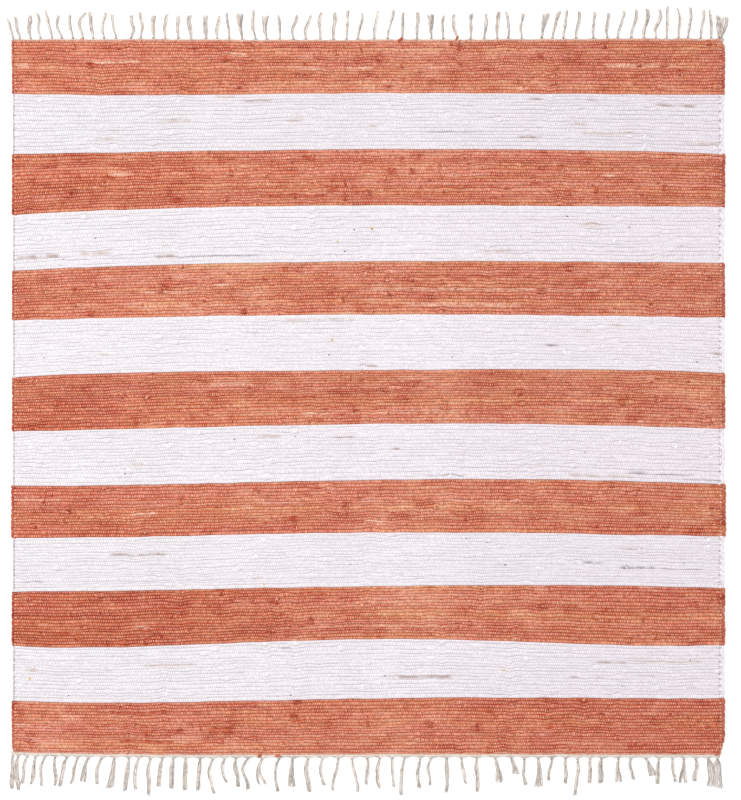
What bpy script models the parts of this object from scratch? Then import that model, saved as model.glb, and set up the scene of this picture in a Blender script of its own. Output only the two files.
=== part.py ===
"""A striped rag rug that lies flat on the floor, with knotted fringe along both ends.

The cloth is one solid: a flat underside, and a top raised into its ribs of weft. Each fringe is a solid of
its own: the narrow heading past the last rib, from which the knotted warp ends stand out as tassels.
X runs across the rug along the ribs, Y runs along its length towards the far end, and Z is up. The origin
is the middle of the cloth's underside. Sizes are in millimetres until the points are placed.
"""

import math
from collections import namedtuple

import bmesh
import bpy
import numpy as np

MM = 0.001

# The cloth
CROWN = 5.6  # top of a rib above the floor
GROOVE = 4.2  # bottom of the groove between two ribs
CROWN_SPREAD = 0.8  # how much the ribs differ in height
RIB_SPREAD = 0.3  # how much the ribs differ in width, as a share of one
SELVEDGE_BULGE = 1.5  # how far a rib's turn stands out past the groove beside it
SELVEDGE_SPREAD = 3.0  # how much the ribs differ in reach at the selvedges
PLACES_ACROSS = 9  # points across the top of a rib

# One row for each stripe, from the far end to the near end: its weft, how many ribs it holds, how far its
# selvedges stand from the middle, and how high its far edge lies at five places across the width.
Stripe = namedtuple("Stripe", "weft ribs half_width left quarter middle three_quarters right")
STRIPES = (
    Stripe("orange", 18, 919.5, 919, 919, 918, 919, 920),
    Stripe("white", 16, 914.5, 779, 776, 780, 779, 777),
    Stripe("orange", 19, 919.5, 625, 633, 638, 637, 626),
    Stripe("white", 15, 914.5, 469, 486, 493, 492, 489),
    Stripe("orange", 18, 919.5, 327, 344, 351, 351, 346),
    Stripe("white", 17, 914.5, 200, 208, 212, 210, 204),
    Stripe("orange", 19, 919.5, 53, 68, 72, 74, 64),
    Stripe("white", 16, 914.5, -88, -78, -69, -70, -82),
    Stripe("orange", 17, 921.0, -226, -221, -211, -210, -222),
    Stripe("white", 17, 914.5, -361, -356, -348, -350, -357),
    Stripe("orange", 18, 919.5, -498, -492, -484, -481, -489),
    Stripe("white", 17, 914.5, -638, -636, -622, -631, -636),
    Stripe("orange", 18, 919.5, -779, -781, -772, -770, -772),
)
NEAR_EDGE = (-914, -920, -919, -920, -919)  # the last stripe's near edge, at the same five places

# Corners whose ribs are drawn in: side and end of the rug, over how many ribs, and how far at the end.
Corner = namedtuple("Corner", "side end ribs depth")
DRAWN_IN = (
    Corner("right", "far", 3, 8.0),
    Corner("right", "near", 6, 13.0),
    Corner("left", "near", 2, 3.0),
)

# The fringe
PARTING = 0.3  # clear space between the heading and the cloth
HEADING = 4.0  # width of the heading between two tassels
HEADING_HEIGHT = 4.2
WEB = 8.5  # how far the warp ends run before they meet in a knot
WEB_FOOT = 5.0  # how far a web's foot reaches past its root on either side
SHORTEST_EDGE = 1.0  # between two webs' feet, or a foot and the heading's end
KNOT_WIDTH, KNOT_HEIGHT = 6.5, 7.0
KNOT_AT = 0.12  # share of a tassel's length
TASSEL_HEIGHT, TIP_HEIGHT = 4.6, 3.4
TOP_SHARE = 0.6  # a strand is flat below, and its top is this share of its width
TAIL_FILL = 0.8  # how much of the room beside its neighbour a tail fills
LENGTH_SPREAD, LEAN_SPREAD, BOW_SPREAD = 9.0, 12.0, 12.0  # how much neighbouring tassels differ
WIDTH_SPREAD = 0.4  # the same for their widths, as a share of one

# A strand's sections past its knot: the share of its length, and of its width.
Ring = namedtuple("Ring", "share width")
RINGS = (Ring(0.4, 1.0), Ring(0.7, 1.05), Ring(1.0, 0.8))

# Tassels are counted from the left. Each row gives a tassel, and those between two rows are evenly spaced
# and change evenly: place across the rug, length, how far the tip stands to the right, and width.
Tassel = namedtuple("Tassel", "number across length lean width")
FAR_TASSELS = (
    Tassel(1, -916, 55, -14, 6.0),
    Tassel(2, -900, 61, -10, 6.0),
    Tassel(5, -814, 76, -12, 7.0),
    Tassel(11, -647, 67, -6, 6.5),
    Tassel(19, -390, 62, -1, 8.0),
    Tassel(24, -225, 66, -2, 6.0),
    Tassel(26, -161, 62, 9, 5.5),
    Tassel(33, 88, 70, 8, 5.5),
    Tassel(39, 298, 67, 0, 6.5),
    Tassel(42, 394, 66, 3, 6.0),
    Tassel(43, 445, 70, 13, 7.5),
    Tassel(50, 676, 76, 11, 7.0),
    Tassel(52, 738, 80, 7, 7.5),
    Tassel(58, 905, 78, 0, 6.0),
)
NEAR_TASSELS = (
    Tassel(1, -916, 84, -2, 8.0),
    Tassel(5, -834, 76, -9, 6.5),
    Tassel(8, -748, 68, -16, 7.0),
    Tassel(13, -592, 84, -9, 9.0),
    Tassel(18, -426, 86, -4, 9.0),
    Tassel(22, -310, 78, 2, 9.0),
    Tassel(30, -2, 74, 1, 7.0),
    Tassel(35, 160, 78, 0, 6.0),
    Tassel(40, 366, 70, 4, 7.5),
    Tassel(46, 568, 68, -3, 7.5),
    Tassel(50, 714, 60, 4, 8.0),
    Tassel(56, 895, 68, 0, 8.5),
)
# Tassels that stand out from their neighbours: how many tails they open into, how far apart the outer tails'
# tips are, and their own length, lean, bow to the right, and the width of a tail.
Standout = namedtuple("Standout", "end number tails apart length lean bow width")
STANDOUTS = (
    Standout("far", 8, 1, 0, 70, 10, -13, 6),
    Standout("far", 10, 1, 0, 70, 6, -7, 6),
    Standout("far", 17, 1, 0, 62, -2, -2, 10),
    Standout("far", 21, 2, 11, 67, -5, -2, 5),
    Standout("far", 22, 1, 0, 76, -5, -5, 7),
    Standout("far", 23, 2, 9, 64, -5, -3, 4.5),
    Standout("far", 35, 2, 12, 64, 2, 0, 6),
    Standout("far", 37, 1, 0, 64, -9, -5, 6),
    Standout("far", 43, 2, 10, 69, 13, 0, 6),
    Standout("far", 54, 1, 0, 80, -1, 5, 5),
    Standout("far", 58, 3, 18, 60, 5, 0, 9),
    Standout("near", 8, 1, 0, 66, -18, -2, 6),
    Standout("near", 9, 2, 10, 66, -17, -3, 5),
    Standout("near", 11, 2, 9, 82, -12, -1, 6),
    Standout("near", 14, 1, 0, 99, -3, 0, 8),
    Standout("near", 19, 1, 0, 91, 8, -10, 6),
    Standout("near", 22, 1, 0, 80, 1, -12, 9),
    Standout("near", 23, 2, 13, 66, 0, -9, 6),
    Standout("near", 25, 2, 9, 76, 0, 0, 6.5),
    Standout("near", 28, 1, 0, 84, -13, 0, 5.5),
    Standout("near", 29, 1, 0, 88, 15, -3, 5.5),
    Standout("near", 33, 1, 0, 95, -8, -3, 6),
    Standout("near", 39, 2, 13, 66, 8, 2, 9),
    Standout("near", 40, 2, 10, 44, 10, 1, 7),
    Standout("near", 45, 1, 0, 95, -8, 4, 7),
    Standout("near", 50, 2, 9, 46, 11, 0, 6),
    Standout("near", 53, 2, 14, 66, -1, 0, 5),
    Standout("near", 55, 2, 9, 80, 5, 3, 9),
    Standout("near", 56, 2, 9, 82, 2, -2, 9),
)

ORANGE = (0.62, 0.21, 0.13, 1.0)
WHITE = (0.86, 0.82, 0.86, 1.0)
COTTON = (0.60, 0.53, 0.47, 1.0)
CLOTH_ROUGHNESS = 0.9


def scatter(number, salt):
    """A value from -0.5 to 0.5 that looks random and is the same in each run: the digits far behind the
    point of a sine."""
    return np.modf(np.abs(np.sin(number * 12.9898 + salt * 78.233)) * 43758.5453)[0] - 0.5


def smooth_across(heights, share):
    """The height of one smooth curve through five heights, at a share of the way from left to right."""
    places = np.linspace(0.0, 1.0, len(heights))
    return np.polyval(np.polyfit(places, heights, len(heights) - 1), share)


# A row of points: its share is that of the way from its stripe's far edge to its near edge.
Row = namedtuple("Row", "rib is_crown stripe share")


def rows_of_points():
    """The rows of points on the cloth's top, from the far end: a groove, then a crown and a groove for each
    rib."""
    rows = [Row(0, False, 0, 0.0)]
    first = 0
    for number, stripe in enumerate(STRIPES):
        ribs = np.arange(first, first + stripe.ribs)
        widths = 1.0 + RIB_SPREAD * scatter(ribs, 1)
        ends = np.cumsum(widths) / np.sum(widths)
        starts = ends - widths / np.sum(widths)
        for rib, start, end in zip(ribs, starts, ends):
            rows.append(Row(rib, True, number, (start + end) / 2))
            rows.append(Row(rib, False, number, end))
        first += stripe.ribs
    return rows


def drawn_in(rib, side):
    """How far a rib is drawn in at one side: most at the end of the rug, and none past the corner's ribs."""
    last = sum(stripe.ribs for stripe in STRIPES) - 1
    depth = 0.0
    for corner in DRAWN_IN:
        from_end = rib if corner.end == "far" else last - rib
        if corner.side == side and from_end < corner.ribs:
            depth += corner.depth * (1.0 - from_end / corner.ribs) ** 2
    return depth


def cloth_points(rows):
    """The cloth's top: for each row, its points from left to right, as x, y and z."""
    edges = [stripe[3:] for stripe in STRIPES] + [NEAR_EDGE]
    share = np.linspace(0.0, 1.0, PLACES_ACROSS)
    points = []
    for row in rows:
        reach = STRIPES[row.stripe].half_width + (SELVEDGE_BULGE if row.is_crown else 0.0)
        left = reach + SELVEDGE_SPREAD * scatter(row.rib, 2) - drawn_in(row.rib, "left")
        right = reach + SELVEDGE_SPREAD * scatter(row.rib, 3) - drawn_in(row.rib, "right")
        far = smooth_across(edges[row.stripe], share)
        near = smooth_across(edges[row.stripe + 1], share)
        y = far + (near - far) * row.share
        height = CROWN + CROWN_SPREAD * scatter(row.rib, 4) if row.is_crown else GROOVE
        points.append(np.stack([-left + (left + right) * share, y, np.full_like(y, height)], axis=1))
    return np.array(points)


def tassels_of(end, table):
    """Every tassel of a fringe, as its row among the ones that stand out or as one made like it."""
    standouts = {row.number: row for row in STANDOUTS if row.end == end}
    salt = 10 if end == "far" else 20
    rows = np.array(table, float)
    found = []
    for number in range(1, table[-1].number + 1):
        across, length, lean, width = (np.interp(number, rows[:, 0], rows[:, one]) for one in range(1, 5))
        length += LENGTH_SPREAD * scatter(number, salt)
        lean += LEAN_SPREAD * scatter(number, salt + 1)
        bow = BOW_SPREAD * scatter(number, salt + 2)
        width *= 1.0 + WIDTH_SPREAD * scatter(number, salt + 3)
        plain = Standout(end, number, 1, 0.0, length, lean, bow, width)
        found.append((across, standouts.get(number, plain)))
    return found


def new_object(name, shape, collection, *materials):
    """A named object with the finished shape as its mesh."""
    mesh = bpy.data.meshes.new(name)
    shape.to_mesh(mesh)
    shape.free()
    for material in materials:
        mesh.materials.append(material)
    collection.objects.link(bpy.data.objects.new(name, mesh))


def new_material(name, colour):
    """A dull cotton of the given colour."""
    material = bpy.data.materials.new(name)
    material.use_nodes = True
    shader = material.node_tree.nodes["Principled BSDF"]
    shader.inputs["Base Color"].default_value = colour
    shader.inputs["Roughness"].default_value = CLOTH_ROUGHNESS
    return material


def make_cloth(rows, points, collection, orange, white):
    """The woven cloth: a grid whose rows are moved onto the ribs, walled down to the floor and closed by a
    flat underside, which has corners at the grooves only."""
    shape = bmesh.new()
    grid = bmesh.ops.create_grid(shape, x_segments=PLACES_ACROSS - 1, y_segments=len(rows) - 1, size=0.5)
    order = sorted(grid["verts"], key=lambda point: (-round(point.co.y * (len(rows) - 1)), point.co.x))
    row_of = {}
    for index, (point, place) in enumerate(zip(order, points.reshape(-1, 3))):
        point.co = place * MM
        row_of[point] = rows[index // PLACES_ACROSS]
    for face in shape.faces:
        rib = next(row_of[point] for point in face.verts if row_of[point].is_crown)
        face.material_index = 0 if STRIPES[rib.stripe].weft == "orange" else 1
    rim = [edge for edge in shape.edges if edge.is_boundary]
    walls = bmesh.ops.extrude_edge_only(shape, edges=rim)["geom"]
    under_crowns = []
    for point in [item for item in walls if isinstance(item, bmesh.types.BMVert)]:
        above = next(row_of[other] for edge in point.link_edges for other in edge.verts if other in row_of)
        point.co.z = 0.0
        if above.is_crown:
            under_crowns.append(point)
    bmesh.ops.dissolve_verts(shape, verts=under_crowns)
    bmesh.ops.edgeloop_fill(shape, edges=[edge for edge in shape.edges if edge.is_boundary])
    bmesh.ops.recalc_face_normals(shape, faces=shape.faces)
    bmesh.ops.triangulate(shape, faces=shape.faces, ngon_method="BEAUTY")
    new_object("woven_cloth", shape, collection, orange, white)


def section(x, y, width, height, shares):
    """The corners of a section that is flat on the floor and narrower on top, at the given shares of its
    width: the floor's corners, then the top's."""
    top = width * TOP_SHARE
    floor_corners = [(x + width * share, y, 0.0) for share in shares]
    return floor_corners + [(x + top * share, y, height) for share in shares]


def move_to(points, places):
    """Moves a section's points to their places, the floor's first, each row from left to right."""
    order = sorted(points, key=lambda point: (point.co.z > 0.0, point.co.x))
    for point, place in zip(order, places):
        point.co = [value * MM for value in place]


def draw_out(shape, walls, tassel, root, outward):
    """Draws a tassel out of the walls at its root: first its knot, and then each tail from its own share of
    the knot's end, section by section to the tip."""
    tails = tassel.tails

    def middle(share, offset):
        aside = tassel.lean * share + tassel.bow * math.sin(math.pi * share) + tassel.apart * offset * share
        return root[0] + aside, root[1] + outward * tassel.length * share

    drawn = bmesh.ops.extrude_face_region(shape, geom=walls)["geom"]
    bmesh.ops.delete(shape, geom=walls, context="FACES")
    knot = [item for item in drawn if isinstance(item, bmesh.types.BMVert)]
    ends = [item for item in drawn if isinstance(item, bmesh.types.BMFace)]
    move_to(knot, section(*middle(KNOT_AT, 0.0), KNOT_WIDTH, KNOT_HEIGHT, np.linspace(-0.5, 0.5, tails + 1)))
    ends.sort(key=lambda face: face.calc_center_median().x)
    for tail, wall in enumerate(ends):
        offset = (tail - (tails - 1) / 2) / max(tails - 1, 1)
        for ring in RINGS:
            width = tassel.width * ring.width
            if tails > 1:
                width = min(width, TAIL_FILL * tassel.apart * ring.share / (tails - 1))
            height = TASSEL_HEIGHT + (TIP_HEIGHT - TASSEL_HEIGHT) * ring.share
            wall = bmesh.ops.extrude_discrete_faces(shape, faces=[wall])["faces"][0]
            move_to(wall.verts, section(*middle(ring.share, offset), width, height, (-0.5, 0.5)))


def make_fringe(name, end, table, edge, collection, material):
    """A heading and its tassels. The heading's outline runs along the cloth's edge and comes back with a web
    for each tassel; it is raised to its height, and the tassels are drawn out of the webs' ends."""
    outward = 1 if end == "far" else -1
    tassels = tassels_of(end, table)
    left, right = edge[0, 0], edge[-1, 0]

    def at(x, reach):
        return float(x), float(np.interp(x, edge[:, 0], edge[:, 1])) + outward * (PARTING + reach)

    outline, roots = [at(left, HEADING)], []
    for across, tassel in tassels:
        half = KNOT_WIDTH / 2
        if across - half - WEB_FOOT > outline[-1][0] + SHORTEST_EDGE:
            outline.append(at(across - half - WEB_FOOT, HEADING))
        roots.append(len(outline))
        outline.extend(at(across + x, WEB) for x in np.linspace(-half, half, tassel.tails + 1))
        if across + half + WEB_FOOT < right - SHORTEST_EDGE:
            outline.append(at(across + half + WEB_FOOT, HEADING))
    outline.append(at(right, HEADING))
    outline.extend(at(x, 0.0) for x in reversed(edge[:, 0]))
    shape = bmesh.new()
    floor = [shape.verts.new((x * MM, y * MM, 0.0)) for x, y in outline]
    sole = shape.faces.new(floor)
    raised = bmesh.ops.extrude_face_region(shape, geom=[sole], use_keep_orig=True)["geom"]
    for point in [item for item in raised if isinstance(item, bmesh.types.BMVert)]:
        point.co.z = HEADING_HEIGHT * MM
    bmesh.ops.recalc_face_normals(shape, faces=shape.faces)
    for (across, tassel), first in zip(tassels, roots):
        along = floor[first : first + tassel.tails + 1]
        walls = [
            next(face for face in start.link_faces if stop in face.verts and face is not sole)
            for start, stop in zip(along, along[1:])
        ]
        draw_out(shape, walls, tassel, at(across, WEB), outward)
    bmesh.ops.triangulate(shape, faces=shape.faces, ngon_method="BEAUTY")
    new_object(name, shape, collection, material)


def main():
    for old in list(bpy.data.objects):
        bpy.data.objects.remove(old, do_unlink=True)
    rug = bpy.data.collections.new("rag rug")
    bpy.context.scene.collection.children.link(rug)
    orange = new_material("orange rag", ORANGE)
    white = new_material("white rag", WHITE)
    cotton = new_material("natural cotton", COTTON)
    rows = rows_of_points()
    points = cloth_points(rows)
    make_cloth(rows, points, rug, orange, white)
    make_fringe("far_fringe", "far", FAR_TASSELS, points[0], rug, cotton)
    make_fringe("near_fringe", "near", NEAR_TASSELS, points[-1], rug, cotton)


main()
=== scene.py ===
# %% [markdown]
# # A rag rug, strip by strip
# The rug is woven from torn cotton rags, beaten down hard between thin cotton warp ends. It has thirteen
# stripes, coral and white, and its warp ends are knotted into tassels at both ends. This lesson dresses the
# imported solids: each stripe becomes a band of real ribs, each warp end shows where it crosses a rib, and
# each tassel becomes its own yarns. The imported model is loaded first, because every piece has to lie where
# it lies.

from collections import namedtuple

import bpy
import numpy as np
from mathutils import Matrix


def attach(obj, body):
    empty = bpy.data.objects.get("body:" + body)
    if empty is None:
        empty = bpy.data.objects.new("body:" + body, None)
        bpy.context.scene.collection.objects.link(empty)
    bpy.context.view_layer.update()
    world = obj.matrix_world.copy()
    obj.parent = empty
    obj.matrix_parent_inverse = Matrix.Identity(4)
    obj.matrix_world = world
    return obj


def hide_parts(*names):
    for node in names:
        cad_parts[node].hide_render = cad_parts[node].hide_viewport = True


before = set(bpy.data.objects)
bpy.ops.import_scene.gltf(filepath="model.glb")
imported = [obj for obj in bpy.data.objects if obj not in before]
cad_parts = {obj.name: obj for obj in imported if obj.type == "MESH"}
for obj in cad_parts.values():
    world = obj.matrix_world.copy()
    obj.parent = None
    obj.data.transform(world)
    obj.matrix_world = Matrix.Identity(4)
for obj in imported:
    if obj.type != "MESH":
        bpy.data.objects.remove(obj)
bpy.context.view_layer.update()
MM = 0.001

# %% [markdown]
# ## The sizes of the weave
# A weaver counts: how many ribs of rag a stripe holds, and where its edge lies. The edges of the real
# stripes aren't straight, so each one is given its height at five places across the rug, and one smooth
# curve is drawn through them. The tables repeat those of the solids, in millimetres, from the far end to the
# near end.

# %% Stripes
CROWN = 5.6  # top of a rib above the floor
CORAL_GROOVE, WHITE_GROOVE = 3.7, 4.8  # bottom of the groove between two ribs
CROWN_SPREAD = 0.8
RIB_SPREAD = 0.52
SELVEDGE_SPREAD = 1.8
ACROSS = 1836.0  # from selvedge to selvedge

Stripe = namedtuple("Stripe", "weft ribs half_width left quarter middle three_quarters right")
STRIPES = (
    Stripe("coral", 18, 917.5, 917, 917, 916, 918, 918),
    Stripe("white", 16, 912.5, 779, 776, 780, 779, 777),
    Stripe("coral", 19, 917.5, 624, 631, 636, 635, 624),
    Stripe("white", 15, 912.5, 468, 486, 492, 491, 488),
    Stripe("coral", 18, 917.5, 325, 341, 348, 348, 343),
    Stripe("white", 17, 912.5, 197, 207, 212, 210, 204),
    Stripe("coral", 19, 917.5, 50, 65, 69, 71, 61),
    Stripe("white", 16, 912.5, -88, -78, -69, -70, -82),
    Stripe("coral", 17, 919.0, -228, -223, -213, -212, -224),
    Stripe("white", 17, 912.5, -361, -356, -348, -350, -357),
    Stripe("coral", 18, 917.5, -500, -494, -486, -483, -491),
    Stripe("white", 17, 912.5, -638, -636, -622, -631, -636),
    Stripe("coral", 18, 917.5, -780, -783, -774, -772, -774),
)
NEAR_EDGE = (-912, -919, -918, -918, -918)
Corner = namedtuple("Corner", "side end ribs depth")
DRAWN_IN = (Corner(1, "far", 3, 8.0), Corner(1, "near", 6, 13.0), Corner(-1, "near", 2, 3.0))

FIRST_RIB = np.concatenate([[0], np.cumsum([row.ribs for row in STRIPES])])
RIBS = np.arange(FIRST_RIB[-1])
STRIPE_OF = np.repeat(np.arange(len(STRIPES)), [row.ribs for row in STRIPES])
IS_CORAL = np.array([row.weft == "coral" for row in STRIPES])[STRIPE_OF]
GROOVE = np.where(IS_CORAL, CORAL_GROOVE, WHITE_GROOVE)
print(len(STRIPES), "stripes hold", len(RIBS), "ribs")

# %% [markdown]
# ## Unevenness without dice
# Hand weaving is uneven, but the script has to give the same rug each time. Blender's random numbers need a
# seed and an order; a hash needs neither. scatter turns any number into one that looks random, and drift
# joins such numbers by soft steps, so that a rib swells and thins along its length. Each use has a salt of
# its own, the last number that it hands over, so that no two uses give the same pattern.

# %% Scatter and drift
LINES_APART = 1009.0  # more steps than any line has, so that two lines share none


def scatter(number, salt):
    """From -0.5 to 0.5: the digits far behind the point of a sine."""
    return np.modf(np.abs(np.sin(number * 12.9898 + salt * 78.233)) * 43758.5453)[0] - 0.5


def smooth(share):
    """A soft step from 0 to 1: three times the square less twice the cube."""
    share = np.clip(share, 0.0, 1.0)
    return share * share * (3.0 - 2.0 * share)


def drift(line, place, length, salt):
    """From -0.5 to 0.5, changing softly along a line: scatter at each whole number of lengths, and a soft
    step from one to the next. Each line has its own."""
    step = np.floor(place / length)
    before = scatter(line * LINES_APART + step, salt)
    after = scatter(line * LINES_APART + step + 1.0, salt)
    return before + (after - before) * smooth(place / length - step)


def patchy(rib, x, ribs, length, salt):
    """A drift that also changes softly from rib to rib, so that it makes patches of some ribs by a length."""
    line = np.floor(rib / ribs)
    before, after = drift(line, x, length, salt), drift(line + 1.0, x, length, salt)
    return before + (after - before) * smooth(rib / ribs - line)


def stacked(*parts):
    """Numbers side by side in a new last axis, such as points from all their x, y and z."""
    return np.stack(np.broadcast_arrays(*parts), axis=-1)


def in_turn(*parts):
    """The rows of all parts in one list, whatever shape each part has."""
    return np.concatenate([part.reshape(-1, part.shape[-1]) for part in parts])


# %% [markdown]
# ## What the photo shows one by one
# Most of the weave can follow a rule, but an eye that knows the rug looks for its few strong marks: knotted
# rag ends, dark flecks and a yellow one. Those are listed here by place, in millimetres from the rug's
# middle.

# %% Marks
SPOTS = {
    "dark": (
        (-782, 355), (-700, 409), (-60, 375), (-37, 429), (670, 437), (390, 411), (510, 465), (-833, 100),
        (-101, 109), (215, 103), (844, 90), (-625, -198), (-343, -108), (-679, -164), (-188, -100),
        (557, -141), (867, -151), (-47, -430), (351, -430), (811, -426), (390, -408), (86, -455),
        (-769, -765), (-199, -765), (43, -717), (826, -675), (652, -742), (251, -362), (-366, 750),
    ),
    "yellow": (
        (-79, 398), (9, 431), (-93, 147), (-268, -482), (-869, -724), (348, -702),
    ),
    "white lump": (
        (467, 774), (53, 745), (505, 116), (-466, -90), (-433, -90), (790, -128), (-792, -383),
        (-571, -465), (-551, -465), (-705, -485), (492, -426), (-73, -642), (-266, -634), (880, -151),
    ),
    "lump": (
        (-366, 863), (-715, 848), (-754, 899), (-294, 907), (233, 898), (27, 869), (53, 795), (806, 827),
        (698, 851), (760, 851), (446, 874), (-350, 573), (-492, 506), (-99, 532), (-60, 509), (-145, 617),
        (130, 616), (61, 583), (110, 583), (390, 594), (585, 529), (518, 522), (760, 537), (498, 583),
        (567, 607), (-530, 270), (-754, 273), (-743, 234), (-710, 213), (-212, 329), (-173, 329),
        (-9, 316), (-319, 224), (444, 269), (724, 237), (48, 301), (-394, 0), (-409, -41), (-34, -33),
        (-569, 0), (-597, -64), (-571, -64), (-800, -20), (92, -8), (43, 18), (197, -25), (390, 5),
        (605, 21), (652, -20), (120, 31), (-769, -288), (-571, -349), (-188, -316), (-484, -267),
        (-55, -277), (112, -295), (-746, -619), (-625, -627), (-684, -511), (-258, -609), (-206, -609),
        (-340, -508), (-147, -573), (-235, -521), (-119, -514), (-561, -860), (-484, -855), (-291, -878),
        (-397, -853), (-366, -853), (-191, -819), (-345, -809), (-106, -835), (-869, -884), (-183, -781),
        (554, -778), (459, -778), (310, -801), (600, -817), (338, -878), (467, -845), (158, -842),
        (279, -845),
    ),
    "end": (
        (-736, 919), (81, 920), (228, 920), (685, -894), (-240, -909), (-278, -920), (-232, -922),
    ),
}

# %% [markdown]
# ## Where the rags join
# A rib is one pass of a rag strip. A strip is a metre or so long, and then the next one is laid over its
# end, which leaves a lump. The strips run to and fro through the rug, so a place on the weft is a rib and a
# place across it, and the joins lie along that one long line. The listed lumps are joins too. A join makes
# its rib fatter and pushes the ribs beside it together.

# %% Strips of rag
STRIP = 900.0  # usual length of a strip
JOIN_SPREAD = 0.9  # how unevenly the joins fall, as a share of a strip
JOIN_NUMBERS = np.arange(1, int(len(RIBS) * ACROSS / STRIP))
JOINS = (JOIN_NUMBERS + JOIN_SPREAD * scatter(JOIN_NUMBERS, 41)) * STRIP
JOIN_RIB = (JOINS // ACROSS).astype(int)
JOIN_X = (JOINS % ACROSS - ACROSS / 2) * np.where(JOIN_RIB % 2 == 0, 1, -1)
JOIN_LENGTH = 9.0


def strip_at(rib, x):
    """The number of the strip that lies there: each rib adds the rug's width to the weft, and odd ribs run
    back from right to left."""
    return np.searchsorted(JOINS, rib * ACROSS + ACROSS / 2 + np.where(rib % 2 == 0, x, -x))


print(len(JOINS), "joins between strips of rag")

# %% [markdown]
# ## The shape of the weave
# Everything that lies on the cloth is placed by a rib, a place across it and a share of its width. So the
# ribs are worked out once, for any places across: the heights of the stripes' edges come from a polynomial
# through the five given ones, each rib takes its share of its stripe by its own changing width, and the
# grooves between ribs are the running sums of those widths.

# %% Grooves and crowns
EDGE_HEIGHTS = np.array([row[3:] for row in STRIPES] + [NEAR_EDGE], float)
EDGE_CURVES = np.polyfit(np.linspace(0.0, 1.0, 5), EDGE_HEIGHTS.T, 4)
EDGE_WANDER, EDGE_WAVE = 1.8, 45.0
# Swells of a rib's width are shares of its usual width, and so is the narrowest that it gets.
SWELL, SWELL_WAVE = 0.15, 26.0
LONG_SWELL, LONG_WAVE = 0.2, 170.0
NARROWEST = 0.4
JOIN_SWELL, JOIN_RISE = 0.9, 0.9
CROWN_WANDER = 0.7
FULLNESS = 0.5  # under 1 makes a rib's section fuller than a sine


def stripe_edges(x):
    """Places across by 14 edges: the curve through the five heights, and a small wander."""
    curve = np.vander(x / ACROSS + 0.5, 5) @ EDGE_CURVES
    return curve + EDGE_WANDER * drift(np.arange(len(STRIPES) + 1), x[:, None], EDGE_WAVE, 31)


def listed_joins():
    """The places and ribs of the listed lumps, by their share of the stripe that they lie in."""
    x, height = np.array(SPOTS["lump"] + SPOTS["white lump"], float).T
    edges = stripe_edges(x)
    stripe = np.minimum((edges > height[:, None]).sum(axis=1) - 1, len(STRIPES) - 1).clip(0)
    which = np.arange(len(x))
    share = (edges[which, stripe] - height) / (edges[which, stripe] - edges[which, stripe + 1])
    ribs = np.diff(FIRST_RIB)[stripe]
    return x, FIRST_RIB[stripe] + np.clip(share * ribs, 0, ribs - 1).astype(int)


LISTED_X, LISTED_RIB = listed_joins()
ALL_X = np.concatenate([JOIN_X, LISTED_X])
FATTER = (np.concatenate([JOIN_RIB, LISTED_RIB])[:, None] == RIBS) * 1.0
SQUEEZED = FATTER - 0.5 * np.roll(FATTER, 1, axis=1) - 0.5 * np.roll(FATTER, -1, axis=1)


def weave_at(x):
    """Places across by ribs: the heights of the grooves, one more than the ribs, and of the crowns above the
    floor. A join adds a bell curve to its rib's width, takes half of it from each neighbour's, and lifts its
    crown."""
    along = x[:, None]
    near_join = np.exp(-(((along - ALL_X) / JOIN_LENGTH) ** 2))
    width = 1.0 + RIB_SPREAD * scatter(RIBS, 1) + JOIN_SWELL * (near_join @ SQUEEZED)
    width = width + SWELL * drift(RIBS, along, SWELL_WAVE, 5) + LONG_SWELL * drift(RIBS, along, LONG_WAVE, 6)
    width = np.maximum(width, NARROWEST)
    edges = stripe_edges(x)
    grooves = [edges[:, :1]]
    for number, (first, after) in enumerate(zip(FIRST_RIB, FIRST_RIB[1:])):
        share = np.cumsum(width[:, first:after], axis=1) / width[:, first:after].sum(axis=1, keepdims=True)
        grooves.append(edges[:, number, None] * (1.0 - share) + edges[:, number + 1, None] * share)
    crowns = CROWN + CROWN_SPREAD * scatter(RIBS, 4) + CROWN_WANDER * drift(RIBS, along, SWELL_WAVE, 7)
    return np.concatenate(grooves, axis=1), crowns + JOIN_RISE * (near_join @ FATTER)


def rib_height(rib, crown, phase):
    """Height of the cloth's top at a share of a rib's width: half a sine wave, fuller."""
    return GROOVE[rib] + (crown - GROOVE[rib]) * np.sin(np.pi * phase) ** FULLNESS


# %% [markdown]
# ## Where the ribs turn
# At a selvedge the rag goes round the last warp end and comes back as the next rib, so the ribs are joined
# two by two: one way at the right side, the other way at the left.

# %% Turns of the weft
Side = namedtuple("Side", "sign turn_width first last reach")
DRAWN_POWER = 1.3  # over 1 draws in the outermost ribs of a corner most
SELVEDGE_WAVE = 5.0  # ribs
STRIPE_KEY = 100  # more than the turns of a stripe


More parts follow.
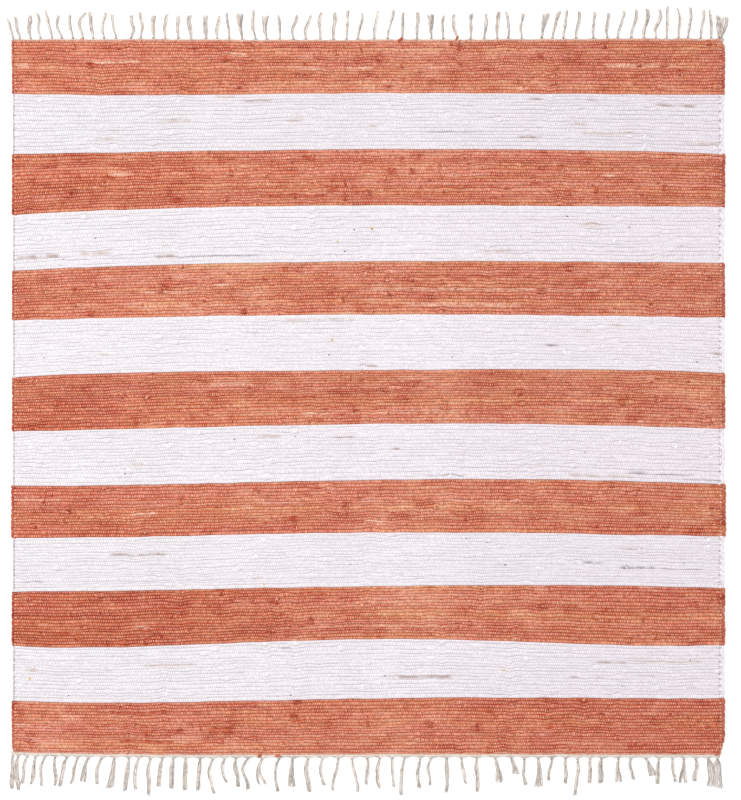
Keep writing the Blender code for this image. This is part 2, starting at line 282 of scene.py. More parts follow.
def side_of(sign, salt, turn_width, wider):
    """The turns at one side: how thick each rib's turn is, each turn's first and last rib, and how far each
    rib reaches. The last two arguments are pairs, for coral and for white ribs: the thickness, and how much
    wider than its stripe's half width a turn lies."""
    place = RIBS - FIRST_RIB[STRIPE_OF]
    keys = STRIPE_OF * STRIPE_KEY + (place + (sign < 0)) // 2
    _, first, count = np.unique(keys, return_index=True, return_counts=True)
    depth = np.zeros(len(RIBS))
    for corner in DRAWN_IN:
        from_end = RIBS if corner.end == "far" else RIBS[::-1]
        if corner.side == sign:
            depth += corner.depth * np.clip(1.0 - from_end / corner.ribs, 0.0, 1.0) ** DRAWN_POWER
    reach = np.array([row.half_width for row in STRIPES])[STRIPE_OF] + np.where(IS_CORAL, *wider)
    reach = reach + SELVEDGE_SPREAD * drift(0.0, RIBS * 1.0, SELVEDGE_WAVE, salt) - depth
    return Side(sign, np.where(IS_CORAL, *turn_width), first, first + count - 1, reach)


# Coral turns are fatter than white ones and lie further in, and all are fatter at the right.
LEFT = side_of(-1, 2, (6.6, 5.2), (-1.2, 3.2))
RIGHT = side_of(1, 3, (10.2, 9.4), (-0.8, 2.0))
print(len(LEFT.first), "turns on the left,", len(RIGHT.first), "on the right")

# %% [markdown]
# ## From arrays to meshes
# All the pieces are grids: rows of points carried along something. A tube is a grid whose rows close on
# themselves. Many copies of one grid, such as yarns, are made as one array and become one mesh. Each mesh
# has two maps: "weave" or "yarn" says where a point lies on its thread, for the materials, and "OFBake" lays
# the faces out side by side, so that every copy has its own patch of a texture.

# %% Mesh helpers
def placed(name, data, location=(0, 0, 0), rotation=(0, 0, 0)):
    """An object that shows its data in the scene."""
    made = bpy.data.objects.new(name, data)
    made.location = location
    made.rotation_euler = rotation
    bpy.context.scene.collection.objects.link(made)
    return made


def new_piece(name, points, faces, material, maps, shade):
    """A mesh object from points in millimetres, faces as lists of numbers, and values for each corner. The
    shade has four parts: a colour, and 1 where warp ends are to be painted on, as on the underside."""
    mesh = bpy.data.meshes.new(name)
    mesh.from_pydata((np.asarray(points).reshape(-1, 3) * MM).tolist(), [], faces)
    for map_name, places in maps.items():
        layer = mesh.uv_layers.new(name=map_name)
        layer.uv.foreach_set("vector", np.asarray(places, np.float32).ravel())
    layer = mesh.color_attributes.new("shade", "FLOAT_COLOR", "CORNER")
    layer.data.foreach_set("color", np.asarray(shade, np.float32).ravel())
    mesh.materials.append(material)
    mesh.polygons.foreach_set("use_smooth", np.ones(len(mesh.polygons), bool))
    mesh.update()
    return placed(name, mesh)


def patch(copy, copies, across, along):
    """A place in a copy's own patch of the square, when all copies' patches lie in even rows."""
    columns = int(np.ceil(np.sqrt(copies)))
    rows = int(np.ceil(copies / columns))
    margin, share = 0.08, 0.84
    u = (copy % columns + margin + share * across) / columns
    v = (copy // columns + margin + share * along) / rows
    return stacked(u, v)


def tubes(name, path, width, height, sides, material, shade, up=(0, 0, 1)):
    """Tubes along paths, copies by rows by 3. Round each point go the sides of an ellipse: its width lies
    across the path and across up, and its height lies square to both. Each copy has one shade."""
    copies, rows = path.shape[:2]
    tangent = np.gradient(path, axis=1)
    tangent /= np.linalg.norm(tangent, axis=-1, keepdims=True)
    across = np.cross(tangent, np.array(up, float))
    across /= np.maximum(np.linalg.norm(across, axis=-1, keepdims=True), 1e-9)
    above = np.cross(across, tangent)
    round_share = np.arange(sides) / sides
    angle = (round_share * 2 * np.pi)[:, None]
    half_width, half_height = (np.asarray(size)[..., None, None] for size in (width, height))
    ring = path[:, :, None] + across[:, :, None] * (np.cos(angle) * half_width)
    ring = ring + above[:, :, None] * (np.sin(angle) * half_height)
    number = np.arange(copies * rows * sides).reshape(copies, rows, sides)
    after = np.roll(number, -1, axis=2)
    quads = stacked(number[:, :-1], number[:, 1:], after[:, 1:], after[:, :-1])
    length = np.cumsum(np.linalg.norm(np.diff(path, axis=1, prepend=path[:, :1]), axis=-1), axis=1)
    copy = np.broadcast_to(np.arange(copies)[:, None, None, None], quads.shape)
    row = np.broadcast_to(np.arange(rows - 1)[:, None, None] + np.array([0, 1, 1, 0]), quads.shape)
    side = np.broadcast_to(np.arange(sides)[:, None] + np.array([0, 0, 1, 1]), quads.shape)
    caps = np.concatenate([number[:, 0], number[:, -1, ::-1]])
    cap_copy = np.tile(np.arange(copies), 2)[:, None].repeat(sides, axis=1)
    cap_end = np.repeat([0, 1], copies)[:, None]
    cap_bake = patch(cap_copy, copies, 0.45 + 0.1 * round_share, cap_end * 0.98 + 0.01)
    cap_yarn = stacked(length[cap_copy, cap_end * (rows - 1)], round_share)
    maps = {
        "yarn": in_turn(stacked(length[copy, row], side / sides), cap_yarn),
        "OFBake": in_turn(patch(copy, copies, side / sides, row / (rows - 1)), cap_bake),
    }
    every = np.concatenate([copy.ravel(), cap_copy.ravel()])
    shade = np.concatenate([np.broadcast_to(shade, (copies, 3)), np.ones((copies, 1))], axis=1)[every]
    return new_piece(name, ring, in_turn(quads).tolist() + caps.tolist(), material, maps, shade)


# %% [markdown]
# ## Finishes
# Rag and warp are both matt cotton, so light and colour variation do the work, not gloss. The colour of each
# rag comes with the mesh, as an attribute called shade. The nodes add what is finer than the mesh: the dark
# line between two ribs and the press marks beside each warp end, both painted shade, the creases of the
# folded rag, painted shade too, and its threads.
# They read the weave map, which counts warp ends one way and ribs the other.

# %% Node helpers
class Graph:
    """A material's nodes, made from the first to the last: each call adds one and returns its output."""

    def __init__(self, name):
        self.material = bpy.data.materials.new(name)
        self.material.use_nodes = True
        self.tree = self.material.node_tree
        self.shader = self.tree.nodes["Principled BSDF"]

    def add(self, kind, output=0, settings=(), **inputs):
        """A node of a kind. An input is named as its socket is, or i and its number."""
        made = self.tree.nodes.new("ShaderNode" + kind)
        for name, value in dict(settings).items():
            setattr(made, name, value)
        for name, value in inputs.items():
            key = int(name[1:]) if name[1:].isdigit() else name.replace("_", " ")
            self.set(made.inputs[key], value)
        return made.outputs[output]

    def set(self, socket, value):
        if isinstance(value, bpy.types.NodeSocket):
            self.tree.links.new(value, socket)
        else:
            socket.default_value = value

    def uv(self, name):
        """The two parts of a map."""
        made = self.tree.nodes.new("ShaderNodeSeparateXYZ")
        self.set(made.inputs[0], self.add("UVMap", settings={"uv_map": name}))
        return made.outputs[0], made.outputs[1]

    def shade(self, output=0):
        return self.add("Attribute", output, {"attribute_name": "shade"})

    def point(self, x, y, z=0.0):
        return self.add("CombineXYZ", X=x, Y=y, Z=z)

    def math(self, operation, first, second=0.0, third=0.0):
        return self.add("Math", settings={"operation": operation}, i0=first, i1=second, i2=third)

    def times(self, first, second):
        return self.math("MULTIPLY", first, second)

    def plus(self, first, second):
        return self.math("ADD", first, second)

    def less(self, first, second):
        return self.math("SUBTRACT", first, second)

    def line(self, value, factor, start):
        """The value times a factor, and a start added."""
        return self.math("MULTIPLY_ADD", value, factor, start)

    def noise(self, vector, scale=1.0, detail=2.0, rough=0.5):
        return self.add("TexNoise", Vector=vector, Scale=scale, Detail=detail, Roughness=rough)

    def mixed(self, share, first, second, blend="MIX"):
        settings = {"data_type": "RGBA", "blend_type": blend}
        return self.add("Mix", 2, settings, i0=share, i6=first, i7=second)

    def deepened(self, share, colour, deep):
        """The colour, and by a share the colour times deep."""
        return self.mixed(share, colour, self.mixed(1.0, colour, deep, "MULTIPLY"))

    def scaled(self, colour, factor):
        grey = self.add("CombineColor", Red=factor, Green=factor, Blue=factor)
        return self.mixed(1.0, colour, grey, "MULTIPLY")

    def ramp(self, value, low, high):
        """From 0 to 1 as the value goes from low to high, softly."""
        settings = {"interpolation_type": "SMOOTHSTEP"}
        return self.add("MapRange", settings=settings, Value=value, From_Min=low, From_Max=high)

    def matt(self, colour, height, depth, grain, sheen):
        """Finish as cotton: a colour, bumps as deep as given, and hardly any gloss."""
        self.set(self.shader.inputs["Base Color"], colour)
        self.set(self.shader.inputs["Normal"], self.add("Bump", Height=height, Distance=depth, Strength=0.7))
        self.set(self.shader.inputs["Roughness"], self.line(grain, 0.12, 0.82))
        self.shader.inputs["Specular IOR Level"].default_value = 0.25
        self.shader.inputs["Sheen Weight"].default_value = sheen
        self.shader.inputs["Sheen Roughness"].default_value = 0.6
        return self.material


# %% Rag
WARP_PITCH = 2.84  # between neighbouring warp ends
SIDE_GAP = 909.8  # from the rug's middle to the gap inside the left turns
# how dark the painted shade in the gap inside the left turns is, and how dark all marks may add up to
SIDE_SHADE, DARKEST = 0.9, 1.15
RAG_GRAIN = 900.0  # grains to a metre
# Marks are a noise between a low and a high bound. The larger per_line is, the less one rib's marks go on in
# the next one's. aside lets two kinds of mark lie at different places.
Mark = namedtuple("Mark", "per_line aside detail rough low high")
BREAKS = Mark(3.7, 0.0, 4.0, 0.5, 0.36, 0.6)
DYED = Mark(7.7, 0.0, 3.0, 0.6, 0.54, 0.7)
PALE = Mark(9.3, 7.0, 3.0, 0.6, 0.55, 0.72)
SPOTTED = Mark(0.9, 0.0, 2.0, 0.6, 0.6, 0.7)
GRIT = Mark(0.9, 0.0, 4.0, 0.85, 0.32, 0.68)
DYED_LONG, PALE_LONG, SPOT_LONG, FOLD_LONG = 0.085, 0.06, 0.3, 0.17  # the smaller, the longer along the rib
# A finish says how dark each kind of mark is, as a share of the way from the shade to the shade times deep.
# thin is where the gap between two ribs begins, in ribs from the crown, and broken how often the gap breaks
# off. fine is the same for grit. press is dark beside a warp end, between is dark halfway to the next one.
# The gap, press, between and creases are painted shade; dyed and spots are the rag's own colour.
Finish = namedtuple(
    "Finish", "deep gap thin broken press between dyed spots creases grit fine pale pale_share yarn bump"
)


def rag(name, finish):
    """Rag weft: its shade, times deep where it is dark. Dark are the gap to the next rib, the press marks
    beside a warp end or the rag between two of them, lengths of rag that are dyed deeper, small spots, and
    creases that run along the rib. The gap, the press marks, the rag between warp ends, the creases and the
    gap inside the left turns are painted shade; the dyed lengths and the spots are the rag's own. The colour
    also goes lighter and darker with the folds, painted light and shade. The shade's fourth part paints warp
    ends on, where no floats lie."""
    graph = Graph(name)
    times, less, line, ramp = graph.times, graph.less, graph.line, graph.ramp
    ends, ribs = graph.uv("weave")

    def marks(kind, per_end, counted):
        place = graph.point(times(ends, per_end), times(counted, kind.per_line), kind.aside)
        return ramp(graph.noise(place, 1.0, kind.detail, kind.rough), kind.low, kind.high)

    rib, phase = graph.math("FLOOR", ribs), graph.math("FRACT", ribs)
    from_crown = graph.math("ABSOLUTE", less(phase, 0.5))
    groove = graph.math("FLOOR", graph.plus(ribs, 0.5))
    # painted shade: the dark gap between two ribs, broken here and there
    gap = times(ramp(from_crown, finish.thin, 0.49), line(marks(BREAKS, finish.broken, groove), 0.8, 0.2))
    half_turn = times(graph.plus(ends, rib), 0.5)
    from_end = graph.math("ABSOLUTE", less(graph.math("FRACT", graph.plus(half_turn, 0.5)), 0.5))
    bulge = ramp(from_end, 0.16, 0.46)
    # press darkens the dent beside each warp end, and between darkens the rag halfway to the next one:
    # painted shade
    press = less(1.0, bulge)
    dyed, pale = marks(DYED, DYED_LONG, rib), marks(PALE, PALE_LONG, rib)
    spots, grit = marks(SPOTTED, SPOT_LONG, ribs), marks(GRIT, finish.fine, ribs)
    fold_place = graph.point(times(ends, FOLD_LONG), times(phase, 2.8), times(rib, 5.3))
    folds = graph.noise(fold_place, 1.0, 3.0, 0.65)
    # painted shade in the creases of the folded rag
    creases = ramp(folds, 0.5, 0.75)
    # painted shade in the gap inside the left turns
    from_side = graph.math("ABSOLUTE", graph.plus(ends, SIDE_GAP / WARP_PITCH))
    dark = line(less(1.0, ramp(from_side, 0.3, 0.55)), SIDE_SHADE, times(gap, finish.gap))
    pairs = ((press, finish.press), (bulge, finish.between), (dyed, finish.dyed), (spots, finish.spots))
    for share, strength in (*pairs, (creases, finish.creases)):
        dark = line(share, strength, dark)
    shade = graph.mixed(times(pale, finish.pale_share), graph.shade(), finish.pale)
    colour = graph.deepened(graph.math("MINIMUM", dark, DARKEST), shade, finish.deep)
    # the colour also follows the folds' height: painted light and shade
    colour = graph.scaled(colour, line(folds, 0.5, 0.76))
    colour = graph.scaled(colour, line(grit, finish.grit, 1.0 - finish.grit / 2))
    mark = times(less(1.0, ramp(from_end, 0.1, 0.2)), graph.shade(output=3))
    colour = graph.mixed(times(mark, ramp(from_crown, 0.5, 0.3)), colour, finish.yarn)
    grain = graph.noise(graph.add("TexCoord", output=3), RAG_GRAIN)
    height = line(grain, 0.25, line(bulge, 0.5, times(folds, 1.1)))
    return graph.matt(colour, height, finish.bump, grain, 0.04)


def turned_rag(name, deep):
    """Rag of a turn or a lump: its shade, with dark creases that run along it, which are painted shade."""
    graph = Graph(name)
    along, around = graph.uv("yarn")
    place = graph.add("TexCoord", output=3)
    crease_place = graph.point(graph.times(along, 0.14), graph.times(around, 5.0))
    far_off = graph.add("VectorMath", settings={"operation": "SCALE"}, i0=place, Scale=90.0)
    crease_place = graph.add("VectorMath", settings={"operation": "ADD"}, i0=crease_place, i1=far_off)
    folds = graph.noise(crease_place, 1.3, 3.0)
    # painted shade in the creases
    colour = graph.deepened(graph.ramp(folds, 0.42, 0.66), graph.shade(), deep)
    grain = graph.noise(place, RAG_GRAIN)
    return graph.matt(colour, graph.line(grain, 0.25, folds), 0.0012, grain, 0.1)


# %% Cotton
FUZZ = 1400.0  # in grains to a metre
FLECKS = 110.0


def cotton(name, dark, twist):
    """Spun yarn: two plies wind round each other, so light and dark run slantwise along the yarn map: the
    groove between the plies is painted shade, and the darker flecks are the yarn's own.
    """
    graph = Graph(name)
    along, around = graph.uv("yarn")
    slant = graph.line(along, 1.0 / twist, around)
    ply = graph.line(graph.math("SINE", graph.times(slant, 4.0 * np.pi)), 0.5, 0.5)
    place = graph.add("TexCoord", output=3)
    fuzz = graph.noise(place, FUZZ)
    # painted shade in the groove between the plies
    share = graph.times(graph.less(1.0, ply), 0.35)
    share = graph.line(graph.ramp(graph.noise(place, FLECKS, 3.0), 0.42, 0.7), 0.5, share)
    colour = graph.deepened(share, graph.shade(), dark)
    return graph.matt(colour, graph.line(fuzz, 0.5, ply), 0.0003, fuzz, 0.15)


CORAL = np.array([0.692, 0.2335, 0.136])
WHITE = np.array([0.908, 0.86, 0.907])
coral_finish = Finish(
    deep=(0.66, 0.28, 0.13, 1), gap=0.94, thin=0.34, broken=0.12, press=0.24, between=0.06, dyed=0.5,
    spots=0.7, creases=0.35, grit=0.8, fine=0.5, pale=(0.9, 0.47, 0.32, 1), pale_share=0.45,
    yarn=(0.7, 0.37, 0.26, 1), bump=0.0009,
)
white_finish = Finish(
    deep=(0.46, 0.38, 0.42, 1), gap=1.0, thin=0.4, broken=0.035, press=0.0, between=0.26, dyed=0.02,
    spots=0.14, creases=0.05, grit=0.24, fine=0.8, pale=(0.95, 0.93, 0.96, 1), pale_share=0.3,
    yarn=(0.75, 0.7, 0.66, 1), bump=0.0004,
)
RAG = {"coral": rag("coral rag", coral_finish), "white": rag("white rag", white_finish)}
LOOP = {
    "coral": turned_rag("coral rag loop", (0.55, 0.28, 0.2, 1)),
    "white": turned_rag("white rag loop", (0.93, 0.91, 0.92, 1)),
}
warp_cotton = cotton("warp cotton", (0.86, 0.8, 0.78, 1), 3.0)
fringe_cotton = cotton("fringe cotton", (0.55, 0.48, 0.45, 1), 5.0)
print("materials so far:", len(bpy.data.materials))

# %% [markdown]
# ## Colours of the rags
# Each strip was dyed or torn from another cloth, and hands set strips of one bath side by side, so the
# colour changes from strip to strip and in patches. Deep runs from pale to deep; it is the power of one
# colour, so deep places turn red as dye does. Some stripes were dyed deeper or paler over a known length.

# %% Dye
DEEPER = np.array([0.8, 0.5, 0.42])
Dye = namedtuple("Dye", "stripe left right depth")
DYES = (
    Dye(1, -240, 230, -0.1),
    Dye(1, -460, 920, 0.08),
    Dye(2, -920, 920, 0.25),
    Dye(3, -920, -430, 0.22),
    Dye(3, -920, -690, 0.18),
    Dye(5, -680, -220, -0.28),
    Dye(5, 230, 460, 0.13),
    Dye(6, -920, 920, -0.12),
    Dye(7, -920, -660, 0.4),
    Dye(7, 0, 230, -0.15),
    Dye(7, 460, 920, -0.17),
    Dye(9, -920, -660, 0.15),
    Dye(9, -460, -230, -0.12),
    Dye(9, 0, 230, -0.2),
    Dye(11, -920, -200, 0.5),
    Dye(11, -690, -460, 0.15),
    Dye(11, 0, 230, -0.2),
    Dye(11, 230, 460, -0.14),
    Dye(13, -920, -740, -0.4),
    Dye(13, -740, -460, -0.18),
    Dye(13, -460, 230, 0.1),
    Dye(13, 230, 920, 0.3),
)
DYE_EDGE = 90.0
WORN = np.array([0.82, 0.5, 0.38])  # the first and the last rib are rubbed pale
WORN_SHARE = 0.4
LEFT_SIDE = (-1000.0, -460.0, 0.18)  # all stripes are a little deeper here
PALER_STRETCH = (0.0, 230.0, -0.17)  # and paler here
DULLING = 0.15  # how much one depth dims a white rag


def within(x, left, right, edge):
    """1 between left and right, 0 outside, and soft over an edge's length at both."""
    return smooth((x - left) / edge + 0.5) * smooth((right - x) / edge + 0.5)


def rag_colour(rib, x):
    """The colour of the strip of rag that lies there. How deep it is adds up from the strip, patches of
    ribs, short lengths of the strip, the rib, small deep patches and the listed dyes. White rag hardly takes
    any of it."""
    strip = strip_at(rib, x)
    deep = 0.5 * scatter(strip, 42) + 0.8 * patchy(rib, x, 3.0, 55.0, 43) + 0.7 * drift(strip, x, 32.0, 45)
    deep = deep + 0.45 * scatter(rib, 46) + 1.0 * smooth(6.0 * patchy(rib, x, 2.0, 32.0, 49) - 1.6)
    dyed = sum(depth * within(x, left, right, DYE_EDGE) for left, right, depth in (LEFT_SIDE, PALER_STRETCH))
    for dye in DYES:
        there = STRIPE_OF[rib] == dye.stripe - 1
        dyed = dyed + dye.depth * within(x, dye.left, dye.right, DYE_EDGE) * there
    deep = deep + dyed
    hue = 0.8 * scatter(strip, 44) + 0.7 * patchy(rib, x, 4.0, 75.0, 47)
    light = 1.0 + 0.08 * scatter(strip, 48)
    coral = CORAL * DEEPER ** deep[..., None] * light[..., None]
    coral = coral * stacked(1.0, 1.0 + 0.12 * hue, 1.0 - 0.18 * hue)
    worn = WORN_SHARE * ((rib == 0) | (rib == len(RIBS) - 1))[..., None]
    coral = coral + (WORN - coral) * worn
    pallor = 1.0 + 0.02 * scatter(strip, 42) + 0.03 * patchy(rib, x, 3.0, 120.0, 43) - DULLING * dyed
    pink = 0.02 * scatter(strip, 44) + 0.045 * x / ACROSS
    white = WHITE * pallor[..., None] * stacked(1.0, 1.0 - pink, 1.0 - 0.3 * pink)
    return np.where(IS_CORAL[rib][..., None], coral, white)


# %% [markdown]
# ## Streaks
# Here and there a strip of another colour was woven in: a brown print in a white stripe, a cream end in a
# coral one. The thin dark lines are no strip but painted shade in a groove. Each is given by where it begins
# and ends and by its height, in millimetres, and it follows the rib or the groove that lies at that height.

# %% Streaks
Kind = namedtuple("Kind", "colour half strength")  # half is half the width, as a share of a rib
KINDS = {
    "tan": Kind((0.62, 0.47, 0.38), 0.36, 0.7),
    "brown": Kind((0.4, 0.27, 0.22), 0.36, 0.85),
    "black": Kind((0.1, 0.08, 0.08), 0.32, 0.8),
    # a line is painted shade: a thin dark gap that lies in a groove
    "line": Kind((0.26, 0.22, 0.22), 0.18, 0.65),
    "cream": Kind((0.97, 0.66, 0.52), 0.42, 1.0),
    "red": Kind((0.5, 0.075, 0.03), 0.5, 1.0),
}
STREAKS = {
    "tan": (
        (-535, -453, 711), (-700, -653, 662), (-664, -641, 684), (-209, -165, 711), (-391, -343, 771),
        (518, 557, 702), (806, 903, 650), (544, 685, 676), (4, 22, 696), (-741, -669, 368),
        (-530, -504, 388), (531, 600, 445), (287, 364, 375), (-212, -42, 198), (549, 569, 170),
        (623, 644, 185), (-689, -669, 108), (-286, -227, -100), (-612, -582, -174), (600, 677, -203),
        (428, 441, -174), (518, 600, -201), (647, 698, -390), (-882, -851, -699), (-569, -445, -688),
        (659, 857, -679), (821, 842, -745), (587, 605, -719),
    ),
    "brown": (
        (420, 441, 765), (564, 585, 763), (390, 446, 667), (742, 839, 748), (-908, -792, 359),
        (-543, -489, 362), (793, 811, 388), (-21, 25, 80), (454, 480, 133), (883, 903, 111),
        (-86, -42, -103), (58, 84, -133), (-661, -522, -406), (-299, -273, -464), (582, 659, -681),
        (56, 215, -718), (521, 541, -719), (-319, -248, 761),
    ),
    "black": (
        (672, 713, -195), (652, 734, -438), (554, 598, -425), (454, 480, 133),
    ),
    # thin dark lines, painted shade in a groove
    "line": (
        (148, 292, 685), (-489, -278, 360), (-330, -278, 165), (-260, -235, -203), (148, 241, -198),
        (729, 839, -198), (814, 903, -214), (-882, -833, -473), (749, 857, -442), (-227, -201, -643),
        (698, 736, -719),
    ),
    "cream": (
        (-736, -587, 861), (-368, -312, 881), (-176, -111, 842), (-47, 4, 843), (-908, -869, 851),
        (-659, -612, 573), (600, 634, 569), (-587, -453, 269), (-394, -343, 288), (99, 390, 237),
        (4, 595, 276), (-407, -304, 34), (-170, -111, -43), (-908, -792, -264), (-607, -548, -300),
        (-325, -299, -282), (-9, 43, -318), (-597, -566, -591), (-194, -163, -624), (-910, -869, -842),
        (605, 790, 848),
    ),
    "red": (
        (-273, -111, 518), (-111, -34, 269), (146, 343, 312), (-230, -119, 0), (-535, -368, -539),
        (-831, -754, -562), (-697, -522, -810), (-638, -497, -884), (-376, -355, 863), (-510, -474, 506),
        (-679, -648, 563), (536, 572, -780), (441, 477, -780), (-800, -764, -610), (647, 724, -894),
    ),
}
STREAK_END = 12.0
FRAYED, FRAYED_WAVE = 1.6, 6.0  # how much a streak comes and goes along its length
SMUDGE = 9.0  # half the length of the deep red beside a coral lump
SMUDGE_HALF = 0.8  # half its width, as a share of a rib
# painted shade at the far groove of each coral stripe's first rib, and its half width in ribs
BORDER_SHADE, BORDER_HALF = np.array([0.82, 0.85, 0.85]), 0.2
Streak = namedtuple("Streak", "left right place kind")


def laid_streaks():
    """Each streak with its place counted in ribs from the far edge, and a short deep red one at each lump of
    coral. A line, which is painted shade, lies in the nearest groove."""
    laid = []
    for name, places in STREAKS.items():
        for left, right, height in places:
            grooves, _ = weave_at(np.array([(left + right) / 2.0]))
            place = np.interp(-height, -grooves[0], np.arange(len(RIBS) + 1))
            laid.append(Streak(left, right, np.round(place) if name == "line" else place, KINDS[name]))
    for number, (x, rib) in enumerate(zip(LISTED_X, LISTED_RIB)):
        if IS_CORAL[rib]:
            half = SMUDGE * (1.0 + 1.2 * scatter(number, 91))
            middle, place = x + 10.0 * scatter(number, 92), rib + 0.5 + scatter(number, 93)
            kind = KINDS["red"]._replace(half=SMUDGE_HALF, strength=0.9 + 0.3 * scatter(number, 94))
            laid.append(Streak(middle - half, middle + half, place, kind))
    return laid


LAID = laid_streaks()
print(len(LAID), "streaks")


def streaked(colour, place, x):
    """Colours with the streaks laid over them, where place counts ribs. The first rib of each coral stripe is
    also darkened at its far groove, painted shade where white warp dives under coral rag."""
    frayed = np.clip(0.85 + FRAYED * drift(np.floor(place), x, FRAYED_WAVE, 95), 0.0, 1.15)
    for left, right, middle, kind in LAID:
        share = within(x, left, right, STREAK_END) * np.exp(-(((place - middle) / kind.half) ** 2))
        colour = colour + (np.array(kind.colour) - colour) * (kind.strength * share * frayed)[..., None]
    # painted shade where white warp dives under coral rag
    for first in FIRST_RIB[:-1:2]:
        share = np.exp(-(((place - first) / BORDER_HALF) ** 2)) * (place >= first)
        colour = colour * (1.0 + (BORDER_SHADE - 1.0) * share[..., None])
    return colour


# %% [markdown]
# ## Thirteen bands of ribs
# A stripe could be a flat sheet with a bumpy material, but its ribs are 8 mm wide and 2 mm deep, and they
# catch the light. So the band is a grid: four rows of points on each rib's top, two on its underside, and
# columns across the rug. The section closes on itself, like a tube that is very wide and flat. Near a
# selvedge the columns move so that the last one lies where the rib goes into its turn.

# %% Bands
COLUMNS = 127
TOP_PHASES = (0.0, 0.14, 0.5, 0.86)
UNDER_PHASES = (1.0, 0.5)
UNDER_GROOVE = 1.3
SETTLE = 60.0  # how far from a selvedge the columns begin to move
STRIPS_OF_MAP = 3  # the band is cut in three for its texture
BORDER_PHASE = 0.2  # the painted shade of the gap is left off at a stripe's first and last groove
TOPS, UNDERS = len(TOP_PHASES), len(UNDER_PHASES)
nominal = np.linspace(-ACROSS / 2, ACROSS / 2, COLUMNS)
# Of the three strips of the texture, for the top and for the underside: where the first begins, how far it is
# from one to the next, and how high each is.
TOP_STRIPS, UNDER_STRIPS = (0.01, 0.23, 0.215), (0.70, 0.1, 0.085)
groove_lines, crown_lines = weave_at(nominal)


def body_end(side):
    """How far each rib goes before its turn covers it."""
    return side.reach - side.turn_width * 0.7


def settled(rib):
    """Columns by ribs: each column's place, moved near the ends so that the last ones meet the turns."""
    x = nominal[:, None]
    for side in (LEFT, RIGHT):
        near = smooth((x * side.sign - (ACROSS / 2 - SETTLE)) / SETTLE)
        x = x + near * side.sign * (body_end(side)[rib] - ACROSS / 2)
    return x


def section_of(ribs):
    """The rib of each row of points and the row's place in it: the top's rows from the far groove to the near
    one, and the underside's rows back again."""
    rib = np.concatenate([np.repeat(ribs, TOPS), ribs[-1:], np.repeat(ribs[::-1], UNDERS), ribs[:1]])
    phases = [np.tile(TOP_PHASES, len(ribs)), [1.0], np.tile(UNDER_PHASES, len(ribs)), [0.0]]
    return rib, np.concatenate(phases)


def on_strip(strips, block, share):
    """The height on the texture of a point in one of its strips."""
    first, apart, high = strips
    return first + block * apart + high * share


def cap_rows_of(count, rows):
    """The rows round each rib's end, first for the left ends, where they run the other way."""
    which = np.arange(count)[:, None]
    top_rows = which * TOPS + np.arange(TOPS + 1)
    under_rows = rows - 1 - (which + 1) * UNDERS + np.arange(UNDERS + 1)
    ends = np.concatenate([top_rows, under_rows], axis=1)
    return np.concatenate([ends[:, ::-1], ends])


def band(number):
    """One stripe: a grid of columns by rows that closes on itself, and a face on each rib's two ends.
    The fourth part of its shade is 1 on the underside."""
    ribs = RIBS[FIRST_RIB[number] : FIRST_RIB[number + 1]]
    rib, phase = section_of(ribs)
    rows, last_top = len(rib), TOPS * len(ribs)
    is_top = np.arange(rows) <= last_top
    x = settled(rib)
    y = groove_lines[:, rib] * (1 - phase) + groove_lines[:, rib + 1] * phase
    under = UNDER_GROOVE * (1 - np.sin(np.pi * phase) ** FULLNESS)
    z = np.where(is_top, rib_height(rib, crown_lines[:, rib], phase), under)
    index = np.arange(COLUMNS * rows).reshape(COLUMNS, rows)
    after = np.roll(index, -1, axis=1)
    quads = stacked(index[:-1], after[:-1], after[1:], index[1:])
    columns = np.arange(COLUMNS - 1)[:, None, None]
    column = np.broadcast_to(columns + np.array([0, 0, 1, 1]), quads.shape)
    row = np.broadcast_to((np.arange(rows)[:, None] + np.array([0, 1, 1, 0])) % rows, quads.shape)
    is_wall = (np.arange(rows) == last_top) | (np.arange(rows) == rows - 1)
    face_rib = np.where(is_wall, rib, np.minimum(rib, np.roll(rib, -1)))[:, None]
    place, across = (rib + phase)[row], x[column, row]
    open_place = np.clip(place, ribs[0] + BORDER_PHASE, ribs[-1] + 1 - BORDER_PHASE)
    weave = stacked(across / WARP_PITCH + 1.0 * ~is_top[row], open_place)
    third = (COLUMNS - 1) // STRIPS_OF_MAP
    block = columns // third
    share = (place - ribs[0]) / len(ribs)
    bake_v = np.where(is_top[row], on_strip(TOP_STRIPS, block, share), on_strip(UNDER_STRIPS, block, share))
    bake = stacked(0.01 + 0.98 * ((column - block * third) / third), bake_v)
    colour = streaked(rag_colour(np.broadcast_to(face_rib, quads.shape), across), place, across)
    shade = np.concatenate([colour, 1.0 * ~is_top[row][..., None]], axis=-1)
    cap_rows = cap_rows_of(len(ribs), rows)
    cap_column = np.repeat([0, COLUMNS - 1], len(ribs))[:, None]
    cap_place, cap_x = rib[cap_rows] + phase[cap_rows], x[cap_column, cap_rows]
    cap_weave = stacked(cap_x / WARP_PITCH, cap_place)
    cap_bake = stacked(0.003 + 0.99 * (cap_column > 0), 0.01 + 0.9 * (cap_place - ribs[0]) / len(ribs))
    cap_shade = np.concatenate([rag_colour(rib[cap_rows], cap_x), np.zeros((*cap_x.shape, 1))], axis=-1)
    faces = in_turn(quads).tolist() + index[cap_column, cap_rows].tolist()
    maps = {"weave": in_turn(weave, cap_weave), "OFBake": in_turn(bake, cap_bake)}
    name, material = f"stripe_{number + 1:02d}", RAG[STRIPES[number].weft]
    return new_piece(name, stacked(x, y, z), faces, material, maps, in_turn(shade, cap_shade))


bands = [band(number) for number in range(len(STRIPES))]
print("bands:", sum(len(piece.data.polygons) for piece in bands), "faces")

